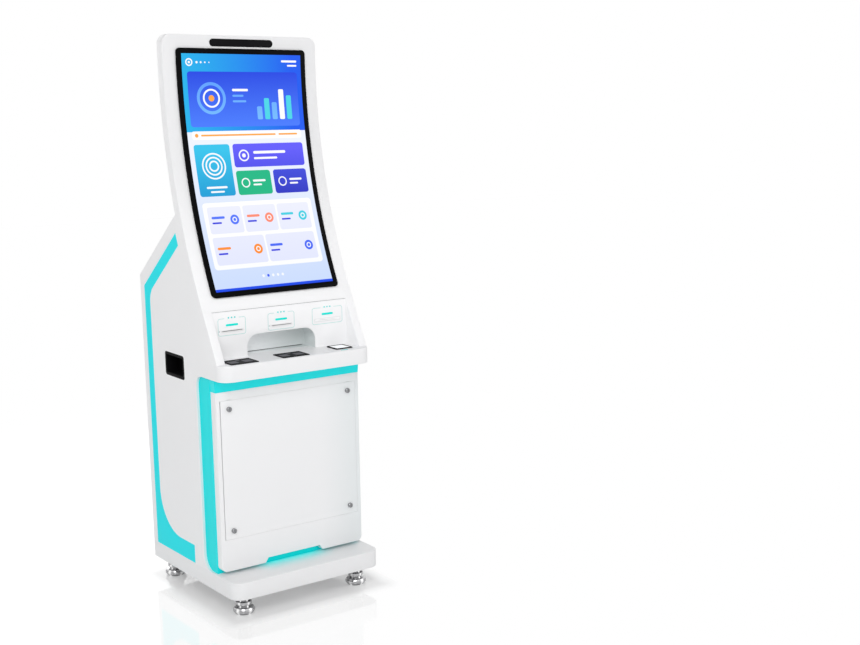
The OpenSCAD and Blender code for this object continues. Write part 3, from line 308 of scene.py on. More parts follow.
def paleGlass(name, node, border):
    # scanner window: white glass with a black border, and a faint painted glow that keeps the glass bright
    # white
    low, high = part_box(node)
    material, wire = startFinish(name)
    cloud = grain(wire, 30.0, 3.0)
    offX = abs(along(wire, "X") - (low.x + high.x) / 2) > (high.x - low.x) / 2 - border
    offY = abs(along(wire, "Y") - (low.y + high.y) / 2) > (high.y - low.y) / 2 - border
    white = blend(wire, cloud, tone(238, 241, 243), tone(252, 253, 254))
    tint = blend(wire, wire.maths("MAXIMUM", offX, offY), white, finishSet["black"])
    endFinish(wire, {"Base Color": tint, "Roughness": 0.20 + cloud * 0.05, "Emission Color": tint,
                     "Emission Strength": 0.2, **dull})
    return material


# marks on a pad, in metres: two squares beside the middle and a small one behind it
padSet = {"apart": 0.023, "halfX": 0.013, "halfY": 0.014, "smallX": 0.006, "smallY": 0.005,
          "behind": 0.019, "shrink": 0.004, "round": 0.005, "crisp": 1200.0, "soft": 0.2}


def readerPad(name, centres):
    # dark pad with two paler rounded squares and a small mark between them
    material, wire = startFinish(name)
    across, deep = along(wire, "X"), along(wire, "Y")
    cloud = grain(wire, 90.0, 3.0)
    peel = grain(wire, 1500.0)
    mask = None
    for centreX, centreY, halfX, halfY in centres:
        offX = wire.maths("MAXIMUM", abs(across - centreX) - halfX + padSet["shrink"], 0.0)
        offY = wire.maths("MAXIMUM", abs(deep - centreY) - halfY + padSet["shrink"], 0.0)
        reach = wire.maths("SQRT", offX * offX + offY * offY)
        inside = wire.maths("SMOOTH_MIN", (padSet["round"] - reach) * padSet["crisp"], 1.0, padSet["soft"])
        inside = wire.maths("MAXIMUM", inside, 0.0)
        mask = inside if mask is None else wire.maths("MAXIMUM", mask, inside)
    tint = blend(wire, mask * 0.9 + (cloud - 0.5) * 0.2, finishSet["pad"], finishSet["padMark"])
    endFinish(wire, {"Base Color": tint, "Roughness": 0.50 + cloud * 0.12 + mask * 0.08,
                     "Specular IOR Level": finishSet["padGloss"],
                     "Normal": bumps(wire, peel, 0.3, 0.00006)})
    return material


# painted glow and shade from the notch's light on the deck: half its width, where it starts and ends, its
# reach and tints
glowSet = {"half": 0.074, "back": -0.150, "inner": -0.140, "reach": 0.085, "deck": 0.111,
           "tint": tone(150, 240, 238), "light": (0.0, 0.16, 0.16, 1), "strength": 1.0}


def deckPaintedGlow(name, colour):
    # white paint with the notch's light painted on the deck in front of it: a teal tint that also paints its
    # shade, and a faint glow
    material, wire = startFinish(name)
    cloud, peel = coatGrain(wire, coatSet["grain"])
    offX = wire.maths("MAXIMUM", abs(along(wire, "X")) - glowSet["half"], 0.0)
    offY = wire.maths("MAXIMUM", glowSet["back"] - along(wire, "Y"), 0.0)
    paintedGlow = 1.0 - wire.maths("SQRT", offX * offX + offY * offY) / glowSet["reach"]
    paintedGlow = wire.maths("MAXIMUM", paintedGlow, 0.0) * (along(wire, "Z") > glowSet["deck"])
    paintedGlow = paintedGlow * (along(wire, "Y") < glowSet["inner"])
    paintedGlow = paintedGlow * paintedGlow
    plain = blend(wire, cloud, shade(colour, 0.988), shade(colour, 1.012))
    endFinish(wire, {"Base Color": blend(wire, paintedGlow, plain, glowSet["tint"]),
                     "Roughness": coatRough(coatSet["rough"], cloud, peel),
                     "Emission Color": blend(wire, paintedGlow, (0, 0, 0, 1), glowSet["light"]),
                     "Emission Strength": glowSet["strength"],
                     "Normal": bumps(wire, peel, coatSet["bump"], coatSet["depth"])})
    return material


headSide = 0.2497
# painted glow and shade from the notch's light on the deck in front of the notch
plinthPaintedGlow = deckPaintedGlow("plinth_painted_glow", tone(231, 231, 232))
# painted light and shade: the head's front lighter low down and darker towards the top, its sides plain white
headPaintedShade = whiteWithPaintedShade("head_painted_shade", "Z", 0.95, 1.35, tone(243, 243, 244), tone(228, 228, 229), headSide)
# painted light: the cheek fronts a brighter white than the other covers, their sides plain white
cheekPaintedLight = whiteWithPaintedShade("cheek_painted_light", "Z", 0.75, 0.89, tone(245, 245, 246), tone(244, 244, 245), headSide)
# painted shade: the front frame and hatch grow darker and a little bluer towards their right end
frontPaintedShade = whiteWithPaintedShade("front_painted_shade", "X", 0.08, 0.25, finishSet["white"], tone(225, 229, 230))
# painted light: the recess panel a brighter white than the other covers
recessPaintedLight = coated("recess_painted_light", tone(245, 245, 246), 0.010, 0.36, 900.0, 0.00006)
# painted glow: the card mouth gives off a little light that lifts its shade
mouthPaintedGlow = coated("mouth_painted_glow", finishSet["white"], 0.010, 0.42, 1500.0, 0.00005,
                    {"Emission Color": finishSet["white"], "Emission Strength": 0.14})
# painted shade: the niche lighter on the left and darker and bluer towards the right
nichePaintedShade = whiteWithPaintedShade("niche_painted_shade", "X", -0.10, 0.10, tone(251, 253, 254), tone(218, 224, 224))
screenBlack = darkGlass("screen_black", tone(7, 7, 8))
cameraBlack = darkGlass("camera_black", tone(18, 18, 20))
displayBlack = coated("display_black", tone(20, 20, 22), 0.10, 0.5, 1200.0, 0.0001, dull)
scannerWhitePaintedGlow = paleGlass("scanner_white_painted_glow", "scanner_glass", 0.0022)


def middleOf(node):
    low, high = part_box(node)
    return (low.x + high.x) / 2, (low.y + high.y) / 2


def padMarks(node):
    midX, midY = middleOf(node)
    squares = [(midX + side * padSet["apart"], midY, padSet["halfX"], padSet["halfY"]) for side in (-1, 1)]
    return squares + [(midX, midY + padSet["behind"], padSet["smallX"], padSet["smallY"])]


feet = ("front_left_foot", "front_right_foot", "rear_left_foot", "rear_right_foot")
idPad = readerPad("id_pad", padMarks("id_reader_pad"))
nfcPad = readerPad("nfc_pad", padMarks("nfc_reader_pad"))
finishOf = {
    "white_paint": whitePaint, "teal_paint": tealPaint, "teal_film": tealFilm,
    "teal_light": tealLight, "black_plastic": blackPlastic, "screen_glass": screenBlack,
    "display_black": displayBlack, "camera_glass": cameraBlack, "scanner_glass": scannerWhitePaintedGlow,
    "white_plastic": whitePlastic, "lock_steel": lockSteel,
    "zinc_sheet": zincSheet, "device_grey": deviceGrey, "device_case": deviceCase,
    "inlet_black": inletBlack, "paper": rollPaper,
}
ownFinish = {"id_reader_pad": idPad, "nfc_reader_pad": nfcPad, "kick_light": kickGlow,
             "top_liner": tealPaintedGlow, "scanner_frame": scannerBlack,
             "base_plinth": plinthPaintedGlow, "front_fascia": headPaintedShade, "niche_box": nichePaintedShade,
             "recess_panel": recessPaintedLight, "left_cheek": cheekPaintedLight, "right_cheek": cheekPaintedLight,
             "front_frame": frontPaintedShade, "service_hatch": frontPaintedShade,
             "card_unit": mouthPaintedGlow}
for footName in feet:
    ownFinish[footName] = chromePaintedReflections("chrome_" + footName, *middleOf(footName))
for nodeName, nodeObject in nodes.items():
    finish = ownFinish.get(nodeName) or finishOf[slotOf[nodeName]]
    nodeObject.data.materials.clear()
    nodeObject.data.materials.append(finish)
print("finishes on all nodes")


def pickOnly(piece):
    bpy.ops.object.select_all(action="DESELECT")
    piece.select_set(True)
    bpy.context.view_layer.objects.active = piece


def settle(piece, body, finish):
    # place and turn go into the mesh, then the piece rides on its body
    pickOnly(piece)
    bpy.ops.object.transform_apply(location=True, rotation=True, scale=True)
    if finish is not None:
        piece.data.materials.clear()
        piece.data.materials.append(finish)
    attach(piece, body)
    return piece


# the curved head in the side view, in metres: middle of the arc, radius of its front, its back and the screen
curveSet = {"midY": -1.46339, "midZ": 1.59813, "front": 1.5, "back": 1.534, "radius": 1.495,
            "bandStep": 0.018, "slack": 0.0008}
# outlines: half the width, plinth from front to rear, tray front, top of the head and their corner radii
planSet = {"half": 0.25, "front": -0.2675, "rear": 0.2675, "trayFront": -0.2445, "corner": 0.038,
           "headTop": 1.666, "headCorner": 0.028}


def nearTo(value, target, slack=0.0004):
    return abs(value - target) < slack


def onPlan(point, front):
    # on the outline of a plan with two round front corners
    half, corner = planSet["half"], planSet["corner"]
    offX, offY = abs(point.x) - half + corner, front + corner - point.y
    if offX > 0 and offY > 0:
        return nearTo(math.hypot(offX, offY), corner)
    return nearTo(abs(point.x), half) or nearTo(point.y, front) or nearTo(point.y, planSet["rear"])


def onHead(point):
    # on the outline of the head in the front view
    half, top, corner = planSet["half"], planSet["headTop"], planSet["headCorner"]
    offX, offZ = abs(point.x) - half + corner, point.z - top + corner
    if offX > 0 and offZ > 0:
        return nearTo(math.hypot(offX, offZ), corner)
    return nearTo(abs(point.x), half) or nearTo(point.z, top)


def arcReach(point):
    return math.hypot(point.y - curveSet["midY"], point.z - curveSet["midZ"])


def onArc(point, radius, slack=curveSet["slack"]):
    return nearTo(arcReach(point), radius, slack)


def softened(nodeName, passes, cuts=(), smooth=30, inner=False):
    # copy of a CAD node with some of its outer or inner edges rounded, which stands for the node
    piece = bpy.data.objects.new("soft_" + nodeName, nodes[nodeName].data.copy())
    scene.collection.objects.link(piece)
    pickOnly(piece)
    bpy.ops.object.mode_set(mode="EDIT")
    bpy.ops.mesh.select_mode(type="EDGE")
    bpy.ops.mesh.select_all(action="SELECT")
    bpy.ops.mesh.remove_doubles(threshold=1e-6)
    bpy.ops.mesh.customdata_custom_splitnormals_clear()
    bpy.ops.mesh.dissolve_limited(angle_limit=0.001)
    for place, normal in cuts:
        bpy.ops.mesh.select_all(action="SELECT")
        bpy.ops.mesh.bisect(plane_co=place, plane_no=normal)
    for width, steps, wanted in passes:
        bpy.ops.mesh.select_all(action="DESELECT")
        body = bmesh.from_edit_mesh(piece.data)
        picked = 0
        for edge in body.edges:
            middle = (edge.verts[0].co + edge.verts[1].co) / 2
            turn = edge.calc_face_angle_signed(0) if len(edge.link_faces) == 2 else 0
            if (turn < -0.5 if inner else turn > 0.5) and wanted(middle):
                edge.select_set(True)
                picked += 1
        bmesh.update_edit_mesh(piece.data)
        if picked:
            bpy.ops.mesh.bevel(offset=width, segments=steps, affect="EDGES", clamp_overlap=True)
    bpy.ops.object.mode_set(mode="OBJECT")
    bpy.ops.object.shade_smooth_by_angle(angle=math.radians(smooth))
    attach(piece, bodyOf[nodeName])
    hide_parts(nodeName)
    return piece


# widths of the rounds and where they start and end, in metres
# where covers meet flush their edges stay sharp, so the sides read as one face
edgeSet = {"plinth": 0.0025, "tray": 0.0020, "trayRound": 0.0055, "niche": 0.0055, "sheet": 0.0025,
           "head": 0.0020, "seam": 0.0008, "frame": 0.0010,
           "hatch": 0.0004, "panel": 0.0010, "glass": 0.0008, "pad": 0.0005, "foot": 0.0007,
           "plinthTop": 0.112, "plinthFoot": 0.060, "sideFoot": -0.1255, "cheekFoot": -0.2147,
           "sideTop": -0.1105, "frameFront": -0.1765, "cheekInner": 0.224, "neck": 1.16,
           "doorFace": 0.2585, "trayTop": 0.748, "trayFoot": 0.700, "headFoot": 0.887,
           "overTray": 0.7485, "overSlit": 0.756, "clear": 0.0005}
acrossX, acrossY, acrossZ = (1, 0, 0), (0, 1, 0), (0, 0, 1)
softened("base_plinth", [
    (edgeSet["plinth"], 4, lambda m: nearTo(m.z, edgeSet["plinthTop"]) and m.y < edgeSet["sideFoot"]
        and onPlan(m, planSet["front"])),
    (edgeSet["frame"], 2, lambda m: nearTo(m.z, edgeSet["plinthFoot"]) and onPlan(m, planSet["front"]))],
    [((0, edgeSet["sideFoot"], 0), acrossY)])
softened("tray_shell", [
    (edgeSet["trayRound"], 5, lambda m: onPlan(m, planSet["trayFront"])
        and nearTo(m.z, edgeSet["trayTop"]) and m.y < edgeSet["cheekFoot"]),
    (edgeSet["tray"], 3, lambda m: onPlan(m, planSet["trayFront"])
        and nearTo(m.z, edgeSet["trayFoot"]) and m.y < edgeSet["sideTop"])],
    [((0, edgeSet["cheekFoot"], 0), acrossY), ((0, edgeSet["sideTop"], 0), acrossY)])
softened("front_fascia", [
    (edgeSet["head"], 3, lambda m: onArc(m, curveSet["front"])
        and m.z > edgeSet["headFoot"] + edgeSet["clear"] and onHead(m)),
    (edgeSet["panel"], 2, lambda m: onArc(m, curveSet["back"]) and m.z > edgeSet["neck"] and onHead(m)),
    (edgeSet["seam"], 2, lambda m: nearTo(m.z, edgeSet["headFoot"]) and abs(m.x) < edgeSet["cheekInner"]
        and onArc(m, curveSet["front"]))],
    [((edgeSet["cheekInner"], 0, 0), acrossX), ((-edgeSet["cheekInner"], 0, 0), acrossX),
     ((0, 0, edgeSet["neck"]), acrossZ)])

# cheeks and hand grips: front part of a cheek, middle and half size of a grip's rim
sideSet = {"cheekFront": -0.146, "gripY": 0.057, "gripHalfY": 0.058, "gripZ": 0.708, "gripHalfZ": 0.0315}
for side in ("left", "right"):
    softened(side + "_cheek", [
        (edgeSet["head"], 3, lambda m: nearTo(abs(m.x), planSet["half"]) and m.y < sideSet["cheekFront"]
            and m.z > edgeSet["overTray"]),
        (edgeSet["panel"], 2, lambda m: nearTo(abs(m.x), edgeSet["cheekInner"])
            and m.y < sideSet["cheekFront"] and m.z > edgeSet["overTray"])])
    softened(side + "_hand_grip", [
        (edgeSet["panel"], 3, lambda m: nearTo(abs(m.x), planSet["half"])
            and abs(m.y - sideSet["gripY"]) < sideSet["gripHalfY"]
            and abs(m.z - sideSet["gripZ"]) < sideSet["gripHalfZ"])])

# recess and outlet: face of the panel, top and half width of the arch with a little room
recessSet = {"face": -0.1427, "archTop": 0.8125, "archHalf": 0.1145}
softened("recess_panel", [
    (edgeSet["seam"], 2, lambda m: nearTo(m.y, recessSet["face"]) and (nearTo(m.z, edgeSet["headFoot"])
        or (edgeSet["overTray"] < m.z < recessSet["archTop"] and abs(m.x) < recessSet["archHalf"])))])
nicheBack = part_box("niche_box")[1].y - edgeSet["sheet"]
softened("niche_box", [
    (edgeSet["niche"], 6, lambda m: nearTo(m.y, nicheBack) and m.z > edgeSet["overSlit"])],
    smooth=40, inner=True)

# frame and hatch: notch, outer edge and top of the frame, its left gap line, and the cuts that bound them
frameSet = {"notch": 0.216, "outer": 0.2395, "top": 0.6575, "gapLow": 0.22, "gapHigh": 0.634,
            "gapX": -0.228, "gapSlack": 0.002, "cutLow": 0.2165, "cutHigh": 0.6500, "cutX": 0.232,
            "hatchEdge": -0.222}
softened("front_frame", [
    (edgeSet["frame"], 3, lambda m: nearTo(m.y, edgeSet["frameFront"])
        and (m.z < frameSet["notch"] or abs(m.x) > frameSet["outer"] or m.z > frameSet["top"])),
    (edgeSet["hatch"], 2, lambda m: nearTo(m.y, edgeSet["frameFront"])
        and frameSet["gapLow"] < m.z < frameSet["gapHigh"]
        and nearTo(m.x, frameSet["gapX"], frameSet["gapSlack"]))],
    [((0, 0, frameSet["cutLow"]), acrossZ), ((0, 0, frameSet["cutHigh"]), acrossZ),
     ((frameSet["cutX"], 0, 0), acrossX), ((-frameSet["cutX"], 0, 0), acrossX)])
softened("service_hatch", [
    (edgeSet["hatch"], 2, lambda m: nearTo(m.y, edgeSet["frameFront"]) and m.x < frameSet["hatchEdge"])])

# glass, pads, rear door and feet
windowSet = {"proud": 0.001, "slack": 0.0005}
doorSet = {"half": 0.2395, "low": 0.1915, "high": 0.9325}
softened("screen_glass", [(edgeSet["glass"], 3, lambda m: onArc(m, curveSet["radius"]))])
softened("camera_window", [
    (edgeSet["hatch"], 2, lambda m: onArc(m, curveSet["front"] - windowSet["proud"], windowSet["slack"]))])
for padName in ("id_reader_pad", "nfc_reader_pad", "scanner_frame"):
    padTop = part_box(padName)[1].z
    softened(padName, [(edgeSet["pad"], 2, lambda m: nearTo(m.z, padTop))])
softened("rear_door", [
    (edgeSet["panel"], 3, lambda m: nearTo(m.y, edgeSet["doorFace"])
        and (abs(m.x) > doorSet["half"] or m.z < doorSet["low"] or m.z > doorSet["high"]))])
for footName in feet:
    softened(footName, [(edgeSet["foot"], 2, lambda m: m.z > edgeSet["clear"])], smooth=28)
print("covers softened")


def startPlane(name, sizeX, sizeOther, place, upright=True):
    # flat rectangle in edit mode, with all of it selected
    bpy.ops.object.select_all(action="DESELECT")
    tilt = math.pi / 2 if upright else 0
    bpy.ops.mesh.primitive_plane_add(size=1, location=(0, 0, 0), rotation=(tilt, 0, 0))
    plane = bpy.context.object
    plane.name = name
    plane.scale = (sizeX, sizeOther, 1)
    plane.location = place
    bpy.ops.object.transform_apply(location=True, rotation=True, scale=True)
    bpy.ops.object.mode_set(mode="EDIT")
    bpy.ops.mesh.select_all(action="SELECT")
    return plane


def roundCorners(corner, steps):
    bpy.ops.mesh.bevel(offset=corner, segments=steps, affect="VERTICES")
    bpy.ops.mesh.select_all(action="SELECT")


def thicken(offset):
    # all of the mesh in edit mode is drawn out by the offset, with its faces turned outwards
    bpy.ops.mesh.select_all(action="SELECT")
    bpy.ops.mesh.extrude_region_move(TRANSFORM_OT_translate={"value": offset})
    bpy.ops.mesh.select_all(action="SELECT")
    bpy.ops.mesh.normals_make_consistent(inside=False)


# the screen's page: thickness of a shape, how far the first layer and each further one stand proud, its light
screenSet = {"thick": 0.00025, "first": 0.0003, "layer": 0.00018, "lastBand": 0.002, "steps": 7,
             "strength": 0.95, "darkShare": 0.94, "dark": (0.006, 0.006, 0.008, 1), "lattice": 420.0}


def faceOfScreen(z, before):
    return curveSet["midY"] + math.sqrt(curveSet["radius"] ** 2 - (curveSet["midZ"] - z) ** 2) - before


def layOnCurve(piece, before, finish):
    # a flat shape in edit mode becomes a thin one that follows the screen
    thicken((0, screenSet["thick"], 0))
    body = bmesh.from_edit_mesh(piece.data)
    for vertex in body.verts:
        vertex.co.y += faceOfScreen(vertex.co.z, before)
    bmesh.update_edit_mesh(piece.data)
    bpy.ops.object.mode_set(mode="OBJECT")
    piece.data.materials.append(finish)
    return piece


def curvedPlate(x0, x1, z0, z1, corner, before, finish):
    # plate with round corners, cut into bands, then laid on the curve
    plate = startPlane("ink", x1 - x0, z1 - z0, ((x0 + x1) / 2, 0, (z0 + z1) / 2))
    if corner > 0:
        roundCorners(corner, screenSet["steps"])
    level = z0 + curveSet["bandStep"]
    while level < z1 - screenSet["lastBand"]:
        bpy.ops.mesh.select_all(action="SELECT")
        bpy.ops.mesh.bisect(plane_co=(0, 0, level), plane_no=acrossZ)
        level += curveSet["bandStep"]
    return layOnCurve(plate, before, finish)


def curvedRing(midX, midZ, outer, inner, before, finish, steps):
    # ring or disc: a circle, inset to its hole, then laid on the curve
    bpy.ops.object.select_all(action="DESELECT")
    bpy.ops.mesh.primitive_circle_add(vertices=steps, radius=outer, fill_type="NGON",
                                      location=(0, 0, 0), rotation=(math.pi / 2, 0, 0))
    ring = bpy.context.object
    ring.name = "ink"
    ring.location = (midX, 0, midZ)
    bpy.ops.object.transform_apply(location=True, rotation=True, scale=True)
    bpy.ops.object.mode_set(mode="EDIT")
    bpy.ops.mesh.select_all(action="SELECT")
    if inner > 0:
        bpy.ops.mesh.inset(thickness=outer - inner)
        bpy.ops.mesh.delete(type="FACE")
    return layOnCurve(ring, before, finish)


def joined(name, parts, finish):
    bpy.ops.object.select_all(action="DESELECT")
    for part in parts:
        part.select_set(True)
    bpy.context.view_layer.objects.active = parts[0]
    if len(parts) > 1:
        bpy.ops.object.join()
    whole = bpy.context.object
    whole.name = name
    return settle(whole, "cabinet", finish)


def shown(name, low, high, start, end, axis="Z"):
    # lit screen colour that shades from one tone to another along an axis, with a fine mottle
    material, wire = startFinish(name)
    rise = (along(wire, axis) - start) / (end - start)
    rise = wire.maths("MINIMUM", wire.maths("MAXIMUM", rise, 0.0), 1.0)
    dots = grain(wire, screenSet["lattice"], 1.0)
    colour = blend(wire, rise + (dots - 0.5) * 0.05, low, high)
    dark = blend(wire, screenSet["darkShare"], colour, screenSet["dark"])
    endFinish(wire, {"Base Color": dark, "Roughness": 0.14 + dots * 0.04, "Emission Color": colour,
                     "Emission Strength": screenSet["strength"], **dull})
    return material


screenInk = {
    "page": shown("page_pale", tone(203, 220, 252), tone(238, 243, 255), 0.95, 1.35),
    "head": shown("page_blue", tone(30, 180, 235), tone(20, 90, 240), -0.20, 0.16, "X"),
    "hero": shown("hero_blue", tone(70, 122, 252), tone(28, 66, 226), 1.41, 1.57),
    "violet": shown("tile_violet", tone(58, 66, 222), tone(98, 92, 250), 1.24, 1.34),
    "green": shown("tile_green", tone(24, 184, 132), tone(62, 214, 158), 1.29, 1.34),
    "cyan": shown("tile_cyan", tone(20, 158, 214), tone(52, 196, 236), 1.21, 1.34),
    "deep": shown("tile_deep", tone(36, 46, 190), tone(62, 74, 220), 1.20, 1.28),
    "card": shown("card_white", tone(250, 251, 255), tone(255, 255, 255), 1.0, 1.2),
    "tile": shown("card_lilac", tone(226, 230, 252), tone(238, 240, 255), 1.0, 1.2),
    "orange": shown("mark_orange", tone(255, 138, 40), tone(255, 170, 72), 1.0, 1.4),
    "coral": shown("mark_coral", tone(255, 112, 84), tone(255, 150, 120), 1.0, 1.2),
    "blue": shown("mark_blue", tone(56, 92, 240), tone(92, 128, 255), 1.0, 1.2),
    "teal": shown("mark_teal", tone(38, 190, 214), tone(74, 214, 230), 1.0, 1.2),
    "white": shown("mark_white", tone(246, 249, 255), tone(255, 255, 255), 1.0, 1.6),
    "strip": shown("strip_blue", tone(12, 64, 226), tone(24, 92, 250), 0.94, 0.96),
    "sky": shown("hero_sky", tone(120, 190, 255), tone(86, 150, 255), 1.41, 1.57),
}
inkParts = []


# sizes on the page are in millimetres
def ink(kind, x0, x1, z0, z1, corner, layer):
    before = screenSet["first"] + screenSet["layer"] * layer
    inkParts.append(curvedPlate(x0 / 1000, x1 / 1000, z0 / 1000, z1 / 1000, corner / 1000, before,
                                screenInk[kind]))


def inkRing(kind, x, z, outer, inner, layer, steps=40):
    before = screenSet["first"] + screenSet["layer"] * layer
    inkParts.append(curvedRing(x / 1000, z / 1000, outer / 1000, inner / 1000, before,
                               screenInk[kind], steps))


# the page behind everything, and the blue part of it
ink("page", -194.5, 194.5, 940.5, 1391, 0, 0)
ink("head", -194.5, 194.5, 1390, 1612.5, 0, 0.4)
ink("strip", -194.5, 194.5, 940.5, 948, 0, 1)
# header: ring with dots on the left, two short bars on the right
inkRing("white", -172, 1588, 11, 7.5, 1)
inkRing("white", -172, 1588, 3.5, 0, 1, 24)
for step in range(4):
    inkRing("white", -148 + 13 * step, 1588, 3.4 - 0.5 * step, 0, 1, 20)
ink("white", 128, 180, 1591, 1597, 2.9, 1)
ink("white", 148, 180, 1579, 1584, 2.4, 1)
# hero panel with a rising row of columns and a large sun ring
ink("hero", -180, 180, 1404, 1562, 9, 1)
columns = [(38, "sky"), (62, "teal"), (50, "sky"), (88, "white"), (70, "teal")]
for step, (height, kind) in enumerate(columns):
    ink(kind, 38 + 25 * step, 55 + 25 * step, 1424, 1424 + height, 4, 2)
inkRing("sky", -108, 1486, 46, 37, 2, 56)
inkRing("white", -108, 1486, 27, 22, 2, 48)
inkRing("orange", -108, 1486, 9, 0, 2, 32)
ink("white", -40, 12, 1506, 1513, 3.4, 2)
ink("sky", -40, -4, 1490, 1496, 2.9, 2)
ink("sky", -40, 4, 1474, 1480, 2.9, 2)
# thin notice line
ink("card", -180, 180, 1368, 1392, 6, 2)
inkRing("orange", -166, 1380, 5.5, 0, 3, 24)
ink("orange", -152, 92, 1377.5, 1382.5, 2.4, 3)
ink("orange", 102, 166, 1377.5, 1382.5, 2.4, 3)
# four tiles: a tall one on the left, a wide one over two small ones on the right
ink("cyan", -180, -66, 1206, 1354, 8, 1)
ink("violet", -56, 180, 1286, 1354, 8, 1)
ink("green", -56, 57, 1206, 1276, 8, 1)
ink("deep", 67, 180, 1206, 1276, 8, 1)
for outer in (38, 27, 16):
    inkRing("white", -123, 1292, outer, outer - 4.5, 2, 48)
ink("white", -156, -90, 1228, 1234, 2.9, 2)
ink("white", -145, -101, 1216, 1221, 2.4, 2)
inkRing("white", -22, 1320, 17, 13, 2, 36)
inkRing("white", -22, 1320, 6, 0, 2, 24)
ink("white", 10, 118, 1324, 1332, 3.9, 2)
ink("white", 10, 88, 1308, 1314, 2.9, 2)
for x in (-28, 95):
    inkRing("white", x, 1241, 14, 10.5, 2, 32)
    ink("white", x + 24, x + 66, 1243, 1249, 2.9, 2)
    ink("white", x + 24, x + 52, 1232, 1237, 2.4, 2)
# white card with five small lilac tiles, three over two
ink("card", -180, 180, 1000, 1188, 10, 1)
smallTiles = [(-168, -60, 1100, 1176, "blue"), (-54, 54, 1100, 1176, "coral"),
              (60, 168, 1100, 1176, "teal"), (-168, -3, 1012, 1090, "orange"),
              (3, 168, 1012, 1090, "blue")]
for x0, x1, z0, z1, kind in smallTiles:
    ink("tile", x0, x1, z0, z1, 7, 2)
    midZ = (z0 + z1) / 2
    inkRing(kind, x1 - 25, midZ, 14, 0, 3, 32)
    inkRing("white", x1 - 25, midZ, 7.5, 4.5, 4, 24)
    ink(kind, x0 + 10, x0 + 52, midZ + 4, midZ + 11, 3.4, 3)
    ink("violet", x0 + 10, x0 + 40, midZ - 10, midZ - 5, 2.4, 3)
# page dots over the lower strip
for step in range(5):
    inkRing("blue" if step == 1 else "white", -32 + 16 * step, 974, 4, 0, 1, 20)
screenPage = joined("screen_page", inkParts, None)
print("screen page drawn with", len(screenPage.data.polygons), "faces")

# thin rounded lines round the slots on the recess panel, open at the top
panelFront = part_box("recess_panel")[0].y
slotLines = {"places": [(-0.161, 0.089), (0.0, 0.089), (0.158, 0.106)], "low": 0.8165, "high": 0.8675,
             "corner": 0.007, "line": 0.0016, "gap": 0.046, "before": 0.00025, "thickShare": 0.9}


def slotFrame(midX, width):
    tall, midZ = slotLines["high"] - slotLines["low"], (slotLines["low"] + slotLines["high"]) / 2
    rim = startPlane("slot_line", width, tall, (midX, panelFront - slotLines["before"], midZ))
    roundCorners(slotLines["corner"], 6)
    bpy.ops.mesh.inset(thickness=slotLines["line"])
    bpy.ops.mesh.delete(type="FACE")
    for side in (-1, 1):
        bpy.ops.mesh.select_all(action="SELECT")
        bpy.ops.mesh.bisect(plane_co=(midX + side * slotLines["gap"] / 2, 0, 0), plane_no=acrossX)
    body = bmesh.from_edit_mesh(rim.data)
    topLine = slotLines["high"] - slotLines["line"] * 1.5
    for face in body.faces:
        middle = face.calc_center_median()
        face.select = middle.z > topLine and abs(middle.x - midX) < slotLines["gap"] / 2
    bmesh.update_edit_mesh(rim.data)
    bpy.ops.mesh.delete(type="FACE")
    thicken((0, slotLines["before"] * slotLines["thickShare"], 0))
    bpy.ops.object.mode_set(mode="OBJECT")
    return rim


# blank marks in place of lettering: three dots over each light, a dot by each slot, a sign by the scanner,
# and a grey strip along the seam under the head as a painted shadow line, all in metres
printSet = {"thick": 0.00022, "dot": 0.0048, "dotStep": 0.010, "dotZ": 0.8680, "sideDot": 0.0034,
            "sideX": 0.0402, "seamZ": 0.8872, "seamHalf": 0.224, "seamTall": 0.0010, "seamProud": 0.0004,
            "signX": 0.160, "signY": -0.2326, "signWide": 0.024, "signDeep": 0.0062,
            "roundShare": 0.49, "sunk": 0.00002}


def printed(place, sizeX, sizeOther, corner, upright=True):
    # thin printed shape with round corners, on the upright panel or on the tray
    shape = startPlane("print", sizeX, sizeOther, place, upright)
    if corner > 0:
        roundCorners(corner, 6)
    thicken((0, -printSet["thick"], 0) if upright else (0, 0, printSet["thick"]))
    bpy.ops.object.mode_set(mode="OBJECT")
    return shape


def printedDot(x, z, size):
    return printed((x, faceY, z), size, size, size * printSet["roundShare"])


faceY = panelFront + printSet["sunk"]
lineFinish = coated("line_grey_teal", tone(190, 223, 220), 0.03, 0.45, 1800.0, 0.00002, dull)
labelTeal = coated("label_teal", tone(70, 214, 210), 0.02, 0.45, 1800.0, 0.00002, dull)
labelGrey = coated("label_grey", tone(176, 190, 192), 0.02, 0.45, 1800.0, 0.00002, dull)
seamShadowGrey = coated("seam_shadow_grey", tone(150, 150, 152), 0.02, 0.6, 1800.0, 0.00002, dull)
slotMiddles = [x for x, width in slotLines["places"]]
labels = [printedDot(x + printSet["dotStep"] * step, printSet["dotZ"], printSet["dot"])
          for x in slotMiddles for step in (-1, 0, 1)]
labels.append(printed((printSet["signX"], printSet["signY"], edgeSet["trayTop"]), printSet["signWide"],
                      printSet["signDeep"], printSet["signDeep"] * printSet["roundShare"], False))
joined("label_dots", labels, labelTeal)
slotLow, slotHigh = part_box("receipt_bezels")
slotZ = (slotLow.z + slotHigh.z) / 2
slotDots = [printedDot(x - printSet["sideX"], slotZ, printSet["sideDot"]) for x in slotMiddles[:2]]
joined("slot_dots", slotDots, labelGrey)
# painted shadow: a thin grey strip that darkens the seam under the head
seamShadowStrip = printed((0, faceY - printSet["seamProud"], printSet["seamZ"]), printSet["seamHalf"] * 2,
                   printSet["seamTall"], 0)
joined("head_seam_shadow", [seamShadowStrip], seamShadowGrey)
rims = [slotFrame(x, width) for x, width in slotLines["places"]]
joined("slot_lines", rims, lineFinish)
print("slot lines drawn")

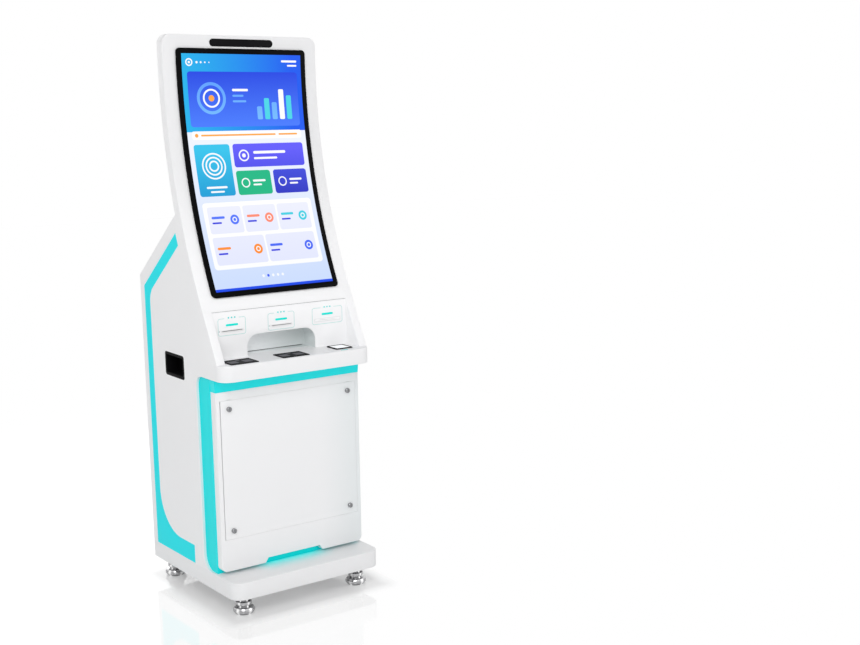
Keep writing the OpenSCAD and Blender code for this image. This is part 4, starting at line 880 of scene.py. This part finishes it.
# floor and light: near the kiosk the floor only takes its shadow, further out it fades to white
floorSet = {"size": 24.0, "rough": 0.08, "shine": 0.14, "whiteFrom": -0.030, "whiteOver": 0.097,
            "low": (0.965, 0.965, 0.965, 1), "high": (0.985, 0.985, 0.985, 1), "blank": (1, 1, 1, 1)}


def seenRay(wire):
    eye = wire.add("ShaderNodeLightPath", {}, {}, "Is Camera Ray")
    shine = wire.add("ShaderNodeLightPath", {}, {}, "Is Glossy Ray")
    passed = wire.add("ShaderNodeLightPath", {}, {}, "Is Transmission Ray")
    return wire.maths("MAXIMUM", wire.maths("MAXIMUM", eye, shine), passed)


bpy.ops.object.select_all(action="DESELECT")
bpy.ops.mesh.primitive_plane_add(size=floorSet["size"], location=(0, 0, 0))
floor = bpy.context.object
floor.name = "studio_floor"
floorFinish, wire = startFinish("studio_white")
fleck = grain(wire, 3.0, 2.0)
flatX, flatY = along(wire, "X"), along(wire, "Y")
offX = wire.maths("MAXIMUM", abs(flatX) - planSet["half"], 0.0)
offY = wire.maths("MAXIMUM", abs(flatY) - planSet["rear"], 0.0)
away = wire.maths("SQRT", offX * offX + offY * offY)
seen = seenRay(wire)
pale = blend(wire, fleck, floorSet["low"], floorSet["high"])
base = wire.add("ShaderNodeBsdfDiffuse", {}, {"Color": pale})
blank = wire.add("ShaderNodeEmission", {}, {"Color": floorSet["blank"]})
fade = ramped(wire, away, floorSet["whiteFrom"], floorSet["whiteOver"]) * seen
whitened = wire.add("ShaderNodeMixShader", {}, {0: fade, 1: base, 2: blank})
gloss = wire.add("ShaderNodeBsdfGlossy", {}, {"Color": floorSet["blank"], "Roughness": floorSet["rough"]})
ended = wire.add("ShaderNodeMixShader", {}, {0: floorSet["shine"], 1: whitened, 2: gloss})
wire.add("ShaderNodeOutputMaterial", {}, {"Surface": ended})
floor.data.materials.append(floorFinish)

# sky: pale round the horizon and duller overhead for what it lights, white where it is seen
worldSet = {"horizon": (0.825, 0.825, 0.828, 1), "overhead": (0.38, 0.38, 0.382, 1),
            "seen": (1, 1, 1, 1), "strength": 1.0}
studio = bpy.data.worlds.new("studio_sky")
studio.use_nodes = True
studio.node_tree.nodes.clear()
wire = Wire(studio.node_tree)
toSky = wire.add("ShaderNodeTexCoord", {}, {}, "Generated")
steep = wire.add("ShaderNodeSeparateXYZ", {}, {0: toSky}, "Z")
dome = blend(wire, wire.maths("MAXIMUM", steep, 0.0), worldSet["horizon"], worldSet["overhead"])
backdrop = blend(wire, seenRay(wire), dome, worldSet["seen"])
sky = wire.add("ShaderNodeBackground", {}, {"Color": backdrop, "Strength": worldSet["strength"]})
wire.add("ShaderNodeOutputWorld", {}, {"Surface": sky})
scene.world = studio

# lamps: place, size and power of each, all turned to one point on the kiosk
lampSet = {"aim": (0, 0, 0.8),
           "lamps": [("key", (-2.5, -3.3, 3.6), 2.6, 95.0), ("fill", (3.2, -2.6, 1.8), 2.4, 12.0),
                     ("front", (0.2, -3.8, 2.0), 2.0, 5.0), ("rear", (0.4, 3.6, 1.7), 2.6, 20.0)]}
for lampName, place, size, power in lampSet["lamps"]:
    bpy.ops.object.light_add(type="AREA", location=place)
    lamp = bpy.context.object
    lamp.name = "lamp_" + lampName
    lamp.data.size = size
    lamp.data.energy = power
    toAim = Vector(lampSet["aim"]) - Vector(place)
    lamp.rotation_euler = toAim.to_track_quat("-Z", "Y").to_euler()
print("floor and lamps set")
